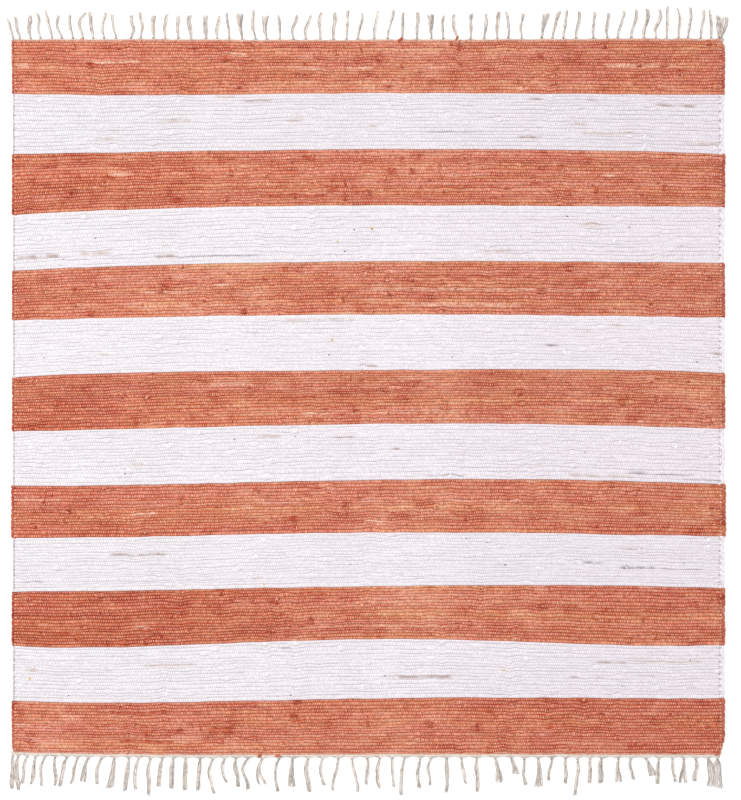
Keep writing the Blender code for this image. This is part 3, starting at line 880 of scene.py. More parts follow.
# %% [markdown]
# ## The warp where it shows
# A warp end passes over one rib and under the next, and its neighbour the other way round. So over every rib
# lies a row of short floats, two warp pitches apart, and the next rib's row is shifted by one. There are
# over seventy thousand of them, so each has only six points: it rises from one groove, lies flat over the
# crown and goes down into the next groove. At both selvedges a thicker bundle of warp shows on every rib.

# %% Floats
FLOAT_WIDTH = 2.1
FLOAT_WIDTH_SPREAD, FLOAT_PLACE_SPREAD = 0.55, 1.1
FLOAT_SHOULDER = 0.34  # share of a rib's width
FLOAT_START = 0.1
FLOAT_MAP = 8.0  # its length on the yarn map
FROM_TURN = 4.0  # from where a rib goes into its turn to the last warp end
BUNDLE_WIDTH = 3.4
BUNDLE_X = np.array([-907.0, 905.0])
# The next four hold the warp over white rag first, then the warp over coral rag.
FLOAT_RISE = np.array([0.2, 0.4])
WARP_LIGHT = np.array([(0.97, 0.935, 0.96), (0.96, 0.57, 0.42)])
WARP_SPREAD = np.array([0.26, 0.75])  # how much two floats differ in lightness
STAIN = np.array([0.1, 0.33])  # how much of the rag's colour the warp has taken
TIP = 0.9  # a float's tips, down in the grooves, have the rag's colour times this: painted shade of the groove
OVER_STREAK = 0.75  # how far a streak shows through the warp over it


def floats(name, x, wanted, width):
    """One flat six-cornered ribbon for each wanted pair of a warp end and a rib: a point near the far groove,
    two pairs on the rib's shoulders and a point near the near groove."""
    grooves, crowns = weave_at(x)
    end, rib = np.nonzero(wanted)
    over_coral = IS_CORAL[rib].astype(int)
    number = end * 231.0 + rib
    far, near, crown = grooves[end, rib], grooves[end, rib + 1], crowns[end, rib]
    width = width * (1.0 + FLOAT_WIDTH_SPREAD * scatter(number, 51))
    middle = x[end] + FLOAT_PLACE_SPREAD * scatter(number, 52)
    phases = np.array([FLOAT_START, *[FLOAT_SHOULDER] * 2, *[1 - FLOAT_SHOULDER] * 2, 1 - FLOAT_START])
    aside = np.array([0.0, -0.5, 0.5, -0.5, 0.5, 0.0])
    rise = FLOAT_RISE[over_coral][:, None]
    z = rib_height(rib[:, None], crown[:, None], phases) + rise * (aside != 0.0)
    y = far[:, None] * (1 - phases) + near[:, None] * phases
    points = stacked(middle[:, None] + width[:, None] * aside, y, z)
    first = np.arange(len(end))[:, None] * 6
    tips = np.concatenate([first + np.array([0, 1, 2]), first + np.array([3, 5, 4])])
    flats = first + np.array([1, 3, 4, 2])
    used = np.concatenate([tips.ravel(), flats.ravel()])
    yarn = stacked(np.tile(phases * FLOAT_MAP, len(end)), np.tile(aside * 0.5 + 0.25, len(end)))[used]
    bake = (points.reshape(-1, 3)[used, :2] / ACROSS + 0.5) * 0.98 + 0.01
    rag_there = streaked(rag_colour(rib, x[end]), rib + 0.5, x[end])
    own = WARP_LIGHT[over_coral] * (1.0 + WARP_SPREAD[over_coral] * scatter(number, 53))[:, None]
    stain = STAIN[over_coral][:, None]
    shade = own * (1 - stain) + rag_there * stain
    shade = shade * (1 - OVER_STREAK) + streaked(shade, rib + 0.5, x[end]) * OVER_STREAK
    # the tips take the rag's colour, a little darker: painted shade in the groove
    shade = np.where((aside == 0.0)[:, None], TIP * rag_there[:, None], shade[:, None]).reshape(-1, 3)
    shade = np.concatenate([shade, np.ones((len(shade), 1))], axis=1)[used]
    maps = {"yarn": yarn, "OFBake": bake}
    return new_piece(name, points, tips.tolist() + flats.tolist(), warp_cotton, maps, shade)


last_end = int(ACROSS / 2 / WARP_PITCH)
warp_numbers = np.arange(-last_end, last_end + 1)
warp_x = warp_numbers * WARP_PITCH
over = (warp_numbers[:, None] + RIBS) % 2 == 0
over &= warp_x[:, None] < body_end(RIGHT) - FROM_TURN
over &= warp_x[:, None] > FROM_TURN - body_end(LEFT)
warp_pieces = [
    floats("warp_over_coral", warp_x, over & IS_CORAL, FLOAT_WIDTH),
    floats("warp_over_white", warp_x, over & ~IS_CORAL, FLOAT_WIDTH),
    floats("selvedge_bundles", BUNDLE_X, np.ones((2, len(RIBS)), bool), BUNDLE_WIDTH),
]
print("floats:", over.sum())

# %% [markdown]
# ## The turns
# A turn is a loop of rag: out of one rib, along the selvedge and into the next rib. As a path it is half an
# ellipse with a square belly, and as a solid it is a fat tube, flattened a little, thinner where it goes in.

# %% Selvedge turns
TURN_ROWS, TURN_SIDES = 11, 8
TURN_INSIDE = 10.0  # how far the loop's ends lie inside its belly
TURN_SQUARE = 0.14  # under 1 makes the belly square
TURN_MIDDLE = 2.9  # above the floor
TURN_HEIGHT = 2.9  # half the height, at most
TURN_FROM = 4.0  # from the selvedge to where the grooves beside a turn are taken
ALONE_SHORT, TURN_SHORT = 0.42, 0.17  # how much a turn of one rib or two is drawn together, in its widths
# the turns' colour times this: the white ones are painted lighter against the shade that they get, the coral
# ones are a little darker
TURN_PAINTED_LIGHT = {"coral": 0.93, "white": 1.07}


def turns(weft, side_name, side):
    """Path: the place out is a power of the sine of the way round, the place along is its cosine. A rib that
    turns alone has a shorter loop."""
    chosen = IS_CORAL[side.first] == (weft == "coral")
    first, last = side.first[chosen], side.last[chosen]
    grooves, _ = weave_at(np.array([side.sign * (ACROSS / 2 - TURN_FROM)]))
    middle = (grooves[0, first] + grooves[0, last + 1])[:, None] / 2
    width = side.turn_width[first][:, None]
    drawn = np.where(first == last, ALONE_SHORT, TURN_SHORT)[:, None] * width
    half = (grooves[0, first] - grooves[0, last + 1])[:, None] / 2 - drawn
    share = np.linspace(0.0, 1.0, TURN_ROWS)
    way = share * np.pi
    number = np.arange(len(first))[:, None]
    outer = side.reach[first][:, None] * (1 - share) + side.reach[last][:, None] * share - width * 0.5
    x = side.sign * (outer - TURN_INSIDE + TURN_INSIDE * np.sin(way) ** TURN_SQUARE)
    y = middle + half * np.cos(way) * (1.0 + 0.1 * scatter(number, 54)) + 1.5 * scatter(number, 58)
    thick = width * 0.5 * (0.88 + 0.12 * np.sin(way) ** 0.6) * (1.0 + 0.16 * scatter(number, 57))
    height = np.minimum(thick, TURN_HEIGHT)
    z = TURN_MIDDLE + 0.5 * scatter(number, 55) + 1.2 * scatter(number, 56) * np.cos(way)
    path = stacked(x, y, np.maximum(z, height))
    colour = rag_colour(first, np.full(len(first), side.sign * ACROSS / 2.0)) * TURN_PAINTED_LIGHT[weft]
    name = f"{weft}_turns_{side_name}"
    return tubes(name, path, thick, height, TURN_SIDES, LOOP[weft], np.minimum(colour, 0.99))


turn_pieces = [turns(weft, *named) for named in (("left", LEFT), ("right", RIGHT)) for weft in LOOP]
print("turns:", ", ".join(piece.name for piece in turn_pieces))

# %% [markdown]
# ## Lumps, knots of rag and loose ends
# At a join the new strip's end stands up a little, and it often curls. Each is a short fat tube that lies
# across the weave at its own angle, and close beside it a darker one is painted shadow where it dives into
# the cloth.
# The most visible ones lie where the photo has them; the others lie at the joins.

# %% Nuggets
DARK, YELLOW = (0.1, 0.07, 0.06), (0.78, 0.68, 0.14)
# the white lumps' colour, and the painted shadow beside each listed coral lump
WHITE_LUMP, LUMP_SHADOW = (0.97, 0.94, 0.96), (0.2, 0.04, 0.025)
LUMP_COLOURS = np.array([(0.62, 0.13, 0.05), (0.72, 0.2, 0.09), (0.5, 0.09, 0.04), (0.84, 0.42, 0.28)])
CORAL_END, WHITE_END = (0.85, 0.6, 0.55), 1.03  # a rag's end has its rag's colour times this
# painted shade where the bundle at the selvedge dives between white ribs
DIP_SHADE = np.array([0.36, 0.27, 0.24])
CURL = 2.6
NUGGET_PROFILE = np.array([0.35, 0.9, 1.0, 0.85, 0.3])
NUGGET_SIDES = 6
LUMP_LEVEL, SPECK_LEVEL = 4.6, 5.0
FROM_SELVEDGE = 30.0  # nearer to a selvedge than this no join shows


def nuggets(name, place, size, angle, level, colour, material):
    """Short fat tubes on the cloth, curled one way or the other. Places and sizes in millimetres; a size is
    length, width and height."""
    along = np.linspace(-0.5, 0.5, len(NUGGET_PROFILE))
    x = place[:, :1] + size[:, :1] * along * np.cos(angle)[:, None]
    curl = CURL * scatter(np.arange(len(place)), 60)[:, None]
    y = place[:, 1:] + size[:, :1] * (along * np.sin(angle)[:, None] + curl * (0.25 - along**2))
    z = level + size[:, 2:] * (0.25 - along**2)
    width, height = (size[:, one, None] / 2 * NUGGET_PROFILE for one in (1, 2))
    return tubes(name, stacked(x, y, z), width, height, NUGGET_SIDES, material, colour)


def sizes(number, salt, *ranges):
    """A length, a width and a height for each number, each between its low and its high."""
    salted = enumerate(ranges, salt)
    return stacked(*((low + high) / 2 + (high - low) * scatter(number, own) for own, (low, high) in salted))


def lumps():
    """The lumps at the joins and those at their places: one piece of coral rag, one of white."""
    grooves, _ = weave_at(JOIN_X)
    join_number = np.arange(len(JOIN_X))
    join_y = (grooves[join_number, JOIN_RIB] + grooves[join_number, JOIN_RIB + 1]) / 2
    seen = np.abs(JOIN_X) < ACROSS / 2 - FROM_SELVEDGE
    rib, x = JOIN_RIB[seen], JOIN_X[seen]
    join_colour = rag_colour(rib, x) * np.where(IS_CORAL[rib][:, None], CORAL_END, WHITE_END)
    listed, whites = np.array(SPOTS["lump"] + SPOTS["end"], float), np.array(SPOTS["white lump"], float)
    place = np.concatenate([stacked(x, join_y[seen]), listed, whites])
    listed_colour = LUMP_COLOURS[np.arange(len(listed)) % len(LUMP_COLOURS)]
    number = np.arange(len(place))
    colour = np.concatenate([join_colour, listed_colour, np.array([WHITE_LUMP] * len(whites))])
    colour = colour * (1.0 + 0.3 * scatter(number, 65)[:, None])
    size = sizes(number, 61, (8.0, 18.0), (4.5, 9.5), (2.6, 4.4))
    angle = 2.4 * scatter(number, 64)
    is_coral = np.concatenate([IS_CORAL[rib], np.ones(len(listed), bool), np.zeros(len(whites), bool)])
    pieces = []
    for weft, own in (("coral", is_coral), ("white", ~is_coral)):
        name, look = f"{weft}_lumps", LOOP[weft]
        pieces.append(nuggets(name, place[own], size[own], angle[own], LUMP_LEVEL, colour[own], look))
    return pieces


def specks_and_shadows():
    """Small dark and yellow spots, and the dark gap on both sides of each listed lump, which is painted
    shadow.
    A yellow spot is two tubes side by side."""
    listed = np.array(SPOTS["lump"] * 2, float)
    number = np.arange(len(listed))
    side = np.where(number < len(listed) / 2, -1.0, 1.0)
    aside = stacked(7.0 * side * (0.6 + scatter(number, 66)), 3.0 * side + 1.5 * scatter(number, 67))
    dark, yellow = np.array(SPOTS["dark"], float), np.array(SPOTS["yellow"], float)
    place = np.concatenate([listed + aside, dark, yellow, yellow + np.array([0.0, 1.6])])
    colour = [LUMP_SHADOW] * len(listed) + [DARK] * len(dark) + [YELLOW] * 2 * len(yellow)
    number = np.arange(len(place))
    size = sizes(number, 68, (3.0, 7.0), (2.0, 3.0), (1.6, 2.2))
    size[-2 * len(yellow) :] *= 1.35
    angle = 1.2 * scatter(number, 71)
    return nuggets("rag_specks", place, size, angle, SPECK_LEVEL, np.array(colour), LOOP["coral"])


def dips():
    """Between the ribs of a white stripe the bundle at the selvedge dives down; small dark brownish tubes
    there are painted shade, darker at the left.
    """
    dip_x = BUNDLE_X + np.array([-2.0, -4.0])
    grooves, _ = weave_at(dip_x)
    white = np.nonzero(~IS_CORAL)[0]
    place = in_turn(stacked(dip_x[:, None], grooves[:, white]))
    number = np.arange(len(place))
    place = place + stacked(1.2 * scatter(number, 76), 0.0)
    colour = np.where(number < len(white), 1.3, 1.5)[:, None] * DIP_SHADE
    colour = colour * (1.0 + 0.9 * scatter(number, 75)[:, None])
    size = sizes(number, 72, (1.4, 3.2), (2.4, 5.0), (1.3, 1.9))
    return nuggets("selvedge_dips", place, size, 0.8 * scatter(number, 77), SPECK_LEVEL, colour, warp_cotton)


nugget_pieces = [*lumps(), specks_and_shadows(), dips()]
print("nuggets:", ", ".join(piece.name for piece in nugget_pieces))

# %% [markdown]
# ## The fringe
# Past the last rib about eleven warp ends at a time are gathered and knotted, and hang on as a tassel. The
# tassels' places, lengths and leans repeat the tables of the solids. Each yarn is a tube of its own: from
# its own place in the cloth it curves to the knot, and then it keeps a seat in the bundle, wavering a
# little.

# %% Tassels
ROOT = 8.8  # from the last rib to where a tassel's length begins
# Every tassel: its place across the rug, how far from the middle its tip lies, how far the tip stands to the
# right of the root, how far the middle bows out, how far it sways to the right by its first quarter, and its
# width. All were read from the picture, and they refine the even tables of the solids.
FAR_TASSELS = (
    (-913, 975, -17, 1, -1, 5.5), (-895, 978, -13, -2, -1, 5.0), (-867, 983, -5, -2, -4, 8.5),
    (-842, 989, -9, 1, -3, 5.0), (-813, 997, -19, 0, -1, 5.0), (-787, 982, -9, -8, 0, 5.5),
    (-759, 985, -6, -6, 0, 5.5), (-733, 988, 8, -13, 2, 4.5), (-706, 992, -8, -3, -1, 6.5),
    (-679, 989, 4, -6, -2, 5.0), (-648, 985, -9, -2, 0, 5.0), (-610, 983, 3, 3, 3, 6.5),
    (-585, 991, -4, 6, 0, 5.5), (-552, 982, 2, -2, 0, 7.0), (-522, 985, 8, -5, 0, 5.0),
    (-488, 982, 1, -2, 0, 6.5), (-455, 983, -2, -3, 1, 10.0), (-417, 983, -3, 1, -1, 10.0),
    (-388, 983, 4, 0, -3, 7.0), (-358, 988, -6, -1, 1, 4.5), (-325, 987, -5, -2, 0, 5.0),
    (-290, 997, -6, -5, -2, 5.0), (-262, 983, -3, -3, -1, 5.0), (-228, 984, -5, 1, 0, 4.5),
    (-192, 983, 9, -4, -3, 4.5), (-161, 982, 13, -4, -2, 5.5), (-124, 989, 5, -4, 2, 5.5),
    (-90, 991, 6, 0, -1, 6.5), (-57, 996, 4, 0, 0, 5.5), (-28, 989, 11, 3, -1, 5.0),
    (15, 994, 12, -3, 0, 5.0), (49, 996, 16, -1, -1, 5.0), (86, 989, 4, 0, 0, 5.0), (124, 991, 2, 2, -1, 6.5),
    (161, 987, -2, 0, 0, 5.5), (192, 983, 3, -4, 0, 5.5), (228, 985, -8, -5, 0, 6.0),
    (262, 987, 2, 0, 1, 6.0), (297, 987, 6, 2, 0, 5.5), (331, 992, 5, -2, 0, 6.5), (359, 992, -5, 3, 0, 4.0),
    (393, 987, 5, -4, -1, 5.5), (445, 988, 12, -1, 0, 6.0), (472, 992, 19, -1, 0, 5.5),
    (500, 996, 10, 1, 0, 5.5), (533, 993, 7, 4, -2, 6.0), (577, 991, 4, -1, -1, 5.0),
    (613, 989, 6, -4, -1, 7.5), (640, 994, 17, 2, -1, 5.0), (675, 997, 13, 3, -2, 5.0),
    (707, 1000, 10, 2, -2, 7.5), (738, 998, 6, 4, -5, 7.0), (766, 1006, 3, 0, 0, 5.0),
    (796, 1001, -1, 5, -1, 4.5), (820, 1003, 6, 4, -1, 5.0), (853, 996, 8, 2, -1, 5.0),
    (880, 996, -4, 3, 0, 4.5), (900, 983, -1, 0, 0, 8.5), (906, 979, 8, 1, -1, 14.5),
)
NEAR_TASSELS = (
    (-914, 1009, -2, 0, 0, 7.0), (-900, 1011, 2, -4, -1, 7.5), (-877, 994, -12, -2, -2, 5.5),
    (-856, 997, -12, 1, -1, 6.0), (-832, 999, -8, -6, -2, 4.5), (-805, 999, 0, 0, -2, 5.5),
    (-775, 1002, -19, -1, -2, 6.5), (-747, 994, -17, -1, -1, 5.0), (-719, 990, -15, -3, -2, 4.5),
    (-686, 995, -11, -6, -1, 6.0), (-653, 1006, -12, 2, 0, 7.0), (-616, 1013, -10, 0, 1, 7.5),
    (-591, 1009, -6, -6, 0, 6.0), (-560, 1025, -4, -3, -1, 7.5), (-530, 1002, -10, -1, -1, 6.0),
    (-502, 1008, -3, -1, 0, 10.0), (-470, 1012, -1, 0, 0, 9.0), (-433, 1012, -5, -1, 0, 8.0),
    (-400, 1020, 5, -10, -1, 5.0), (-370, 991, 6, -8, 0, 5.0), (-341, 1003, 6, -1, -2, 7.5),
    (-310, 1009, 1, -10, -5, 6.5), (-273, 997, 2, -10, -1, 5.0), (-230, 1015, -2, -9, -2, 5.0),
    (-195, 1003, -2, -2, 0, 6.0), (-155, 1016, 5, -5, -2, 8.5), (-118, 998, 5, -7, -1, 5.0),
    (-77, 1013, -15, -1, 1, 5.0), (-43, 1016, 17, 0, -2, 5.0), (-3, 997, -1, 1, 2, 6.0),
    (29, 1006, 1, -6, 0, 6.5), (61, 1004, 5, -1, 0, 4.5), (92, 1025, -7, -4, 0, 5.5),
    (132, 1006, -2, -4, 0, 6.0), (160, 999, -1, -6, -3, 4.5), (201, 1016, 0, 1, -1, 7.5),
    (238, 995, 13, -1, 0, 5.5), (278, 1015, 1, 1, -2, 7.5), (325, 991, 10, 3, 0, 6.0),
    (367, 970, 11, 3, -1, 5.5), (400, 998, 5, -4, 1, 5.5), (436, 1003, 0, 3, 0, 6.5),
    (471, 986, -7, -3, 2, 5.5), (506, 994, 2, -1, 0, 6.0), (536, 1025, -8, 5, 1, 6.0),
    (569, 994, -1, 0, 0, 7.0), (598, 994, -2, -1, -1, 10.0), (642, 991, 1, -2, -1, 5.0),
    (673, 984, 8, -3, -2, 6.0), (713, 975, 18, 2, 0, 5.5), (745, 995, -3, -1, 0, 6.0),
    (781, 990, 7, -1, -1, 6.0), (810, 993, -2, 0, 1, 5.0), (840, 989, -1, 2, 3, 8.0),
    (873, 1002, 7, 6, 0, 14.5), (896, 1007, 4, -2, 0, 17.0),
)
# Tassels that part into two tails: by end and number, how far apart the tips of their tails are.
PARTED = {
    "far": {21: 10, 23: 9, 35: 11, 43: 11},
    "near": {9: 9, 11: 8, 23: 16, 25: 11, 39: 10, 40: 11, 42: 10, 48: 10, 50: 11, 53: 14},
}
Fringe = namedtuple("Fringe", "outward shortest heading knot_out across reach lean bow sway width apart")


def fringe_of(end, table, shortest, heading, knot_out):
    """Every tassel's numbers as arrays, with how far its tails part."""
    apart = np.array([PARTED[end].get(number, 0) for number in range(1, len(table) + 1)], float)
    outward = 1 if end == "far" else -1
    return Fringe(outward, shortest, heading, knot_out, *np.array(table, float).T, apart)


# %% Yarns
YARNS = 11
YARN_RADIUS = 0.86
YARN_SIDES = 5
LAYER_OF = np.array([0, 1, 0, 2, 1, 0, 1, 2, 0, 1, 0])
FULL, FLUFF = 1.25, 1.5  # a tassel's yarns lie over this many times its width, and a little more
TWIST_TURNS = 1.3  # at most, that a tassel's two halves wind round each other
HALF_APART = 0.34  # share of a tassel's width by which its halves lie apart
SEAT_OF = np.array([-1.0, -0.75, -0.5, -0.35, -0.25, 0.0, 0.25, 0.35, 0.5, 0.75, 1.0])
SEAT_APART = 1.6
LEVEL = 1.25  # between two layers of yarn
IN_CLOTH, IN_CLOTH_LEVEL, PAST_CLOTH_LEVEL = 2.5, 2.6, 3.9
WEB_LEVEL, KNOT_LEVEL = 2.8, 3.1
WEB_SHARES = np.array([0.3, 0.6, 0.85])
WEB_HOLLOW = 2.4
TAIL_SHARES = np.array([0.1, 0.2, 0.31, 0.42, 0.53, 0.64, 0.76, 0.88, 1.0])
TAIL_USUAL = 80.0  # a tail's usual length
WAVER, BUNDLE_WAVER = 1.5, 1.8
THICKET = 12.0  # a tassel wider than this is a heap of crinkled yarns
Seats = namedtuple("Seats", "own rank seat layer half_of")


def edge_curve(number):
    """A function for the height of the cloth's first or last edge at any place across."""
    return lambda x: stripe_edges(np.asarray(x, float))[:, number]


def centres(fringe, edge, share, offset):
    """A tassel's middle at shares of its length: it leans, bows by half a wave of sine, sways by a whole one,
    wavers, and its tails part."""
    root = (edge(fringe.across) + fringe.outward * ROOT)[:, None, None]
    across, lean, bow, sway, apart, reach = (
        part[:, None, None]
        for part in (fringe.across, fringe.lean, fringe.bow, fringe.sway, fringe.apart, fringe.reach)
    )
    length = reach - np.abs(root)
    tassel = np.arange(len(across))[:, None, None] + 300.0 * (fringe.outward > 0) + 0.37 * np.sign(offset)
    waver = BUNDLE_WAVER * drift(tassel, share * length, 14.0, 81) * smooth(share * 4.0)
    bent = bow * np.sin(np.pi * share) + sway * np.sin(2 * np.pi * share)
    x = across + lean * share + bent + apart * offset * smooth(share * 1.3 - 0.3) + waver
    return x, root + fringe.outward * length * share


def seats_of(count, salt):
    """Every yarn's own number, and its shuffled rank among its tassel's yarns, which gives its seat
    across the tassel, its layer, and which half of the tassel it belongs to."""
    own = (np.arange(count)[:, None] * YARNS + np.arange(YARNS) + 1.0)[..., None]
    shuffled = np.arange(YARNS) + 5.0 * scatter(own[..., 0], salt)
    rank = np.argsort(np.argsort(shuffled, axis=1), axis=1)[..., None]
    return Seats(own, rank, SEAT_OF[rank], LAYER_OF[rank], np.where(rank % 2 == 0, 1.0, -1.0))


def webs(fringe, edge, yarn, knot_z, salt):
    """The way from the cloth to the knot, in five parts. Out of the heading the way in to the knot is a power
    of the way out, so that the webs are hollow."""
    across, out = fringe.across, fringe.outward
    bounds = np.concatenate([[across[0] - 3], (across[1:] + across[:-1]) / 2, [across[-1] + 7]])
    from_x = bounds[:-1, None] + (bounds[1:] - bounds[:-1])[:, None] * ((np.arange(YARNS) + 0.5) / YARNS)
    from_y = edge(from_x.ravel()).reshape(from_x.shape)[..., None]
    from_x = from_x[..., None]
    knot_x = across[:, None, None] + yarn.seat * SEAT_APART
    knot_y = (edge(across) + out * fringe.knot_out)[:, None, None]
    heading_x, heading_y = from_x + 0.4 * scatter(yarn.own, salt + 5), from_y + out * fringe.heading
    x = knot_x + (from_x - knot_x) * (1 - WEB_SHARES) ** WEB_HOLLOW
    y = heading_y + (knot_y - from_y - out * fringe.heading) * WEB_SHARES
    z = WEB_LEVEL + (knot_z - WEB_LEVEL) * WEB_SHARES + 0.5 * scatter(yarn.own, salt + 1)
    return (
        stacked(heading_x, from_y - out * IN_CLOTH, IN_CLOTH_LEVEL),
        stacked(heading_x, from_y + out * 0.6, PAST_CLOTH_LEVEL + 0.4 * scatter(yarn.own, salt + 6)),
        stacked(heading_x, heading_y, WEB_LEVEL),
        stacked(x, y, z),
        stacked(knot_x, knot_y, knot_z),
    )


def tails(fringe, edge, yarn, knot_z, salt):
    """The way past the knot: the tassel's middle, and each yarn's seat beside it, which the bundle's width
    spreads. A whole tassel is two halves that wind round each other, a parted one has half of its yarns in
    each tail, and a heap is flat."""
    width, seat, half_of = fringe.width[:, None, None], yarn.seat, yarn.half_of
    parted, heaped = fringe.apart[:, None, None] > 0, width > THICKET
    tail_count = np.where(parted, 2.0, 1.0)
    tail = np.floor((seat * 0.499 + 0.5) * tail_count)
    tassel = np.arange(len(width))[:, None, None]
    wound = TWIST_TURNS * (0.5 + scatter(tassel, salt + 8)) * TAIL_SHARES
    turn = 2 * np.pi * (scatter(tassel, salt + 7) + wound)
    in_half = (yarn.rank // 2 / 2.5 - 1.0) * (1.0 - HALF_APART)
    twisted = np.where(heaped, seat, half_of * HALF_APART * np.cos(turn) + in_half)
    in_tail = np.where(parted, ((seat * 0.5 + 0.5) * tail_count - tail - 0.5) * 2.0, twisted)
    layer = np.where(parted | heaped, yarn.layer, 1.0 + half_of * np.sin(turn))
    stretch = fringe.shortest + (1.0 - fringe.shortest) * (0.5 - scatter(yarn.own, salt + 2))
    middle_x, y = centres(fringe, edge, TAIL_SHARES * stretch, np.where(parted, tail - 0.5, 0.0))
    half = np.interp(TAIL_SHARES, [0.1, 0.2, 0.42, 1.0], [0.4, 0.75, 1.0, 1.0])
    loose = np.interp(TAIL_SHARES, [0.12, 0.35, 1.0], [0.0, 0.6, 1.4])
    lift = np.interp(TAIL_SHARES, [0.12, 0.3, 1.0], [1.0, 0.0, 0.0])
    half_width = (width * FULL / 2 + FLUFF - YARN_RADIUS) * half
    at = TAIL_SHARES * TAIL_USUAL
    wave = WAVER * (1.0 + 1.2 * heaped) * loose * drift(yarn.own, at, 11.0, salt + 3)
    x = middle_x + in_tail * half_width + seat * SEAT_APART * (1 - half).clip(0) + wave
    z = (YARN_RADIUS + layer * LEVEL) * (1 - lift) + knot_z * lift
    z = z + 0.8 * loose * drift(yarn.own, at, 13.0, salt + 4)
    return stacked(x, y, np.maximum(z * np.interp(TAIL_SHARES, [0.7, 1.0], [1.0, 0.6]), YARN_RADIUS))


def yarns(fringe, edge, salt):
    """Every yarn's path from inside the cloth to its tip, its own number and its seat."""
    yarn = seats_of(len(fringe.across), salt)
    knot_z = KNOT_LEVEL + (yarn.layer - 0.8) * LEVEL
    parts = (*webs(fringe, edge, yarn, knot_z, salt), tails(fringe, edge, yarn, knot_z, salt))
    path = np.concatenate(parts, axis=2)
    return path.reshape(-1, path.shape[2], 3), yarn.own.reshape(-1), yarn.seat.reshape(-1)


# %% Knots and headings
KNOT_ROWS = 15
KNOT_TURNS = 1.7
KNOT_LONG, KNOT_ROUND, KNOT_HIGH = 3.2, 2.1, 2.2  # along the tassel, and half its width and height
HEADING_PLACES = 120
HEADING_SHORT = (3, 15)  # how far inside the left and the right selvedge the heading ends
HEADING_RADIUS, HEADING_LEVEL = 1.2, 3.6
FRINGE_LIGHT = np.array([0.91, 0.84, 0.775])
SHADED = 0.3  # the yarns at one side of a tassel are painted this much darker, as shade
KNOT_LIGHT = np.array([0.52, 0.45, 0.42])
# the near heading is painted lighter than the far one, against the shade between its picks
HEADING_LIGHT = {"far": np.array([0.95, 0.8, 0.71]), "near": np.array([0.99, 0.88, 0.8])}


def knots(name, fringe, edge):
    """Round each knot the yarn goes one turn and two thirds: a screw line round the tassel's axis."""
    way = np.linspace(0.0, 1.0, KNOT_ROWS)
    number = np.arange(len(fringe.across))[:, None]
    angle = way * 2 * np.pi * KNOT_TURNS + 6.0 * scatter(number, 82)
    x = fringe.across[:, None] + (KNOT_ROUND + 0.8 * scatter(number, 83)) * np.cos(angle)
    y = (edge(fringe.across) + fringe.outward * fringe.knot_out)[:, None]
    y = y + fringe.outward * KNOT_LONG * (way - 0.5)
    path = stacked(x, y, KNOT_LEVEL + 0.2 + KNOT_HIGH * np.sin(angle))
    shade = KNOT_LIGHT * (1.0 + 0.6 * scatter(number, 84))
    return tubes(name, path, YARN_RADIUS, YARN_RADIUS, YARN_SIDES, fringe_cotton, shade, up=(0, 1, 0))


def heading(name, fringe, edge, light):
    """Two picks of warp cotton beside the last rib."""
    x = np.linspace(-ACROSS / 2 + HEADING_SHORT[0], ACROSS / 2 - HEADING_SHORT[1], HEADING_PLACES)
    from_edge = np.array([0.1, 0.75])[:, None] * fringe.heading
    y = edge(x) + fringe.outward * (from_edge + 0.5 * drift(from_edge, x, 20.0, 85))
    return tubes(name, stacked(x, y, HEADING_LEVEL), HEADING_RADIUS, HEADING_RADIUS, 6, warp_cotton, light)


def whole_fringe(end, table, salt, edge_number, shortest, past_rib, knot_out):
    """The yarns, knots and heading of one end. Half of a tassel's yarns keep their colour and the others are
    painted darker, as shade.
    """
    fringe, edge = fringe_of(end, table, shortest, past_rib, knot_out), edge_curve(edge_number)
    path, own, seat = yarns(fringe, edge, salt + 50)
    rows = path.shape[1]
    thick = YARN_RADIUS * np.interp(np.arange(rows), [0, rows - 2, rows - 1], [1.0, 1.0, 0.7])
    thick = thick * (1.0 + 0.3 * scatter(own[:, None], 86))
    # painted shade on one side of each tassel
    lit_side = np.sign(scatter(np.floor((own - 1) / YARNS), salt + 60))
    in_shade = smooth(1.6 * seat * lit_side - 0.2)[:, None]
    shade = FRINGE_LIGHT * (1.0 + 0.5 * scatter(own[:, None], 87)) * (1.0 - SHADED * in_shade)
    print(end, "fringe:", len(table), "tassels,", len(path), "yarns")
    return (
        tubes(f"{end}_fringe_yarns", path, thick, thick, YARN_SIDES, fringe_cotton, shade),
        knots(f"{end}_fringe_knots", fringe, edge),
        heading(f"{end}_heading", fringe, edge, HEADING_LIGHT[end]),
    )


fringe_pieces = {
    "far": whole_fringe("far", FAR_TASSELS, 10, 0, 0.92, 1.4, 4.6),
    "near": whole_fringe("near", NEAR_TASSELS, 20, len(STRIPES), 0.93, 4.4, 10.8),
}

# %% [markdown]
# ## Who stands for what
# The bands replace the one solid of the cloth, and the yarns replace the two fringes. All of it is one body,
# because cloth has no joints.

# %% Ride and replace
BODY = "root"
for piece, row, far, near in zip(bands, STRIPES, EDGE_HEIGHTS, EDGE_HEIGHTS[1:]):
    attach(piece, BODY)
    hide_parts("woven_cloth")
for piece in (*turn_pieces, *nugget_pieces):
    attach(piece, BODY)
for piece in warp_pieces:
    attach(piece, BODY)
for end, pieces in fringe_pieces.items():
    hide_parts(f"{end}_fringe")
    for piece in pieces:
        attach(piece, BODY)

# %% [markdown]
# ## Floor, light and camera
# The rug lies on a plain pale floor, seen straight from above, so the camera looks down its own Z axis. A
# long lens far away keeps the rug's edges parallel. Broad light from all round keeps the floor white, and a
# large lamp to the left gives the ribs their shading and leaves the right side a little dimmer.

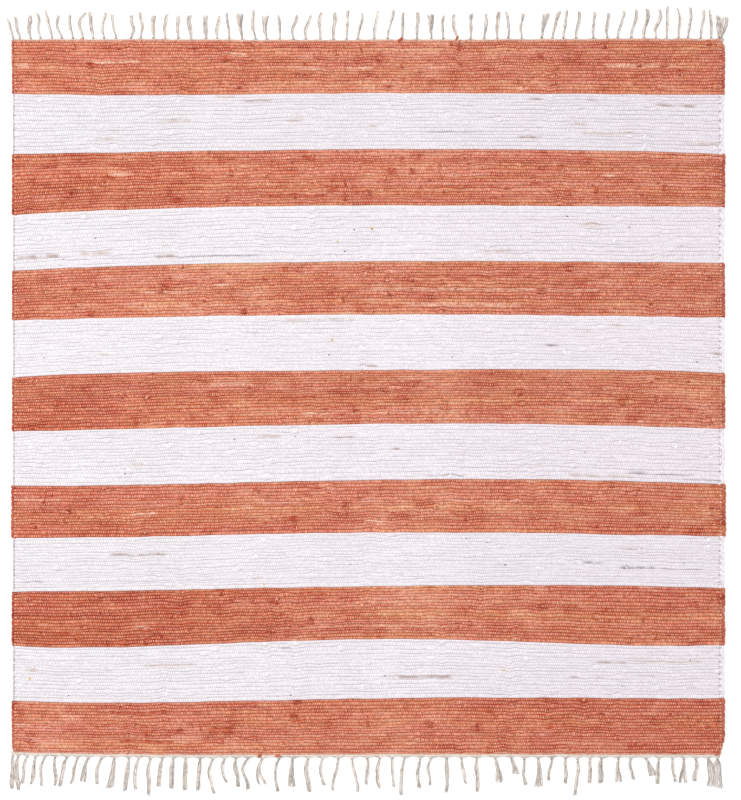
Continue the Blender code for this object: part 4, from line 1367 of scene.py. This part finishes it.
# %% Stage
FLOOR_HALF = 7.0
FLOOR_LEVEL = -0.0003
VIEW_HEIGHT = 2.0553  # metres that the image's height covers
VIEW_MIDDLE = (0.0055, -0.0075)
CAMERA_HEIGHT = 7.0
SENSOR = 36.0
FLOOR_GLOW = 0.22
ROUND_LIGHT = 0.69
SUN_LIGHT, LAMP_LIGHT = 0.9, 87.0

floor_graph = Graph("pale floor")
for socket, value in {
    "Base Color": (0.95, 0.95, 0.95, 1),
    "Roughness": 0.9,
    "Specular IOR Level": 0.1,
    "Emission Color": (1.0, 1.0, 1.0, 1),
    "Emission Strength": FLOOR_GLOW,
}.items():
    floor_graph.shader.inputs[socket].default_value = value
floor_mesh = bpy.data.meshes.new("floor")
around = ((-1, -1), (1, -1), (1, 1), (-1, 1))
floor_corners = [(x * FLOOR_HALF, y * FLOOR_HALF, FLOOR_LEVEL) for x, y in around]
floor_mesh.from_pydata(floor_corners, [], [(0, 1, 2, 3)])
floor_mesh.materials.append(floor_graph.material)
floor = placed("floor", floor_mesh)

world = bpy.data.worlds.new("studio")
world.use_nodes = True
world.node_tree.nodes["Background"].inputs["Color"].default_value = (1.0, 1.0, 1.0, 1.0)
world.node_tree.nodes["Background"].inputs["Strength"].default_value = ROUND_LIGHT
bpy.context.scene.world = world

sun = bpy.data.lights.new("sun", "SUN")
sun.energy = SUN_LIGHT
sun.angle = 0.5
placed("sun", sun, rotation=(-0.75, -0.3, 0.0))

area = bpy.data.lights.new("large lamp", "AREA")
area.energy = LAMP_LIGHT
area.size = 2.5
placed("large lamp", area, (-3.4, 1.2, 4.2), (-0.2, -0.68, 0.0))

lens = bpy.data.cameras.new("camera")
lens.sensor_fit = "VERTICAL"
lens.sensor_height = SENSOR
lens.lens = SENSOR * CAMERA_HEIGHT / VIEW_HEIGHT
lens.clip_end = 50.0
bpy.context.scene.camera = placed("camera", lens, (*VIEW_MIDDLE, CAMERA_HEIGHT))
bpy.context.scene.view_settings.view_transform = "Standard"
print("stage: a floor, two lamps, the studio's light and a camera")

# %% [markdown]
# ## Finish
# The dressed rug has to keep to the imported one's size. The last step brings the view layer up to date.

# %% Finish
bpy.context.view_layer.update()
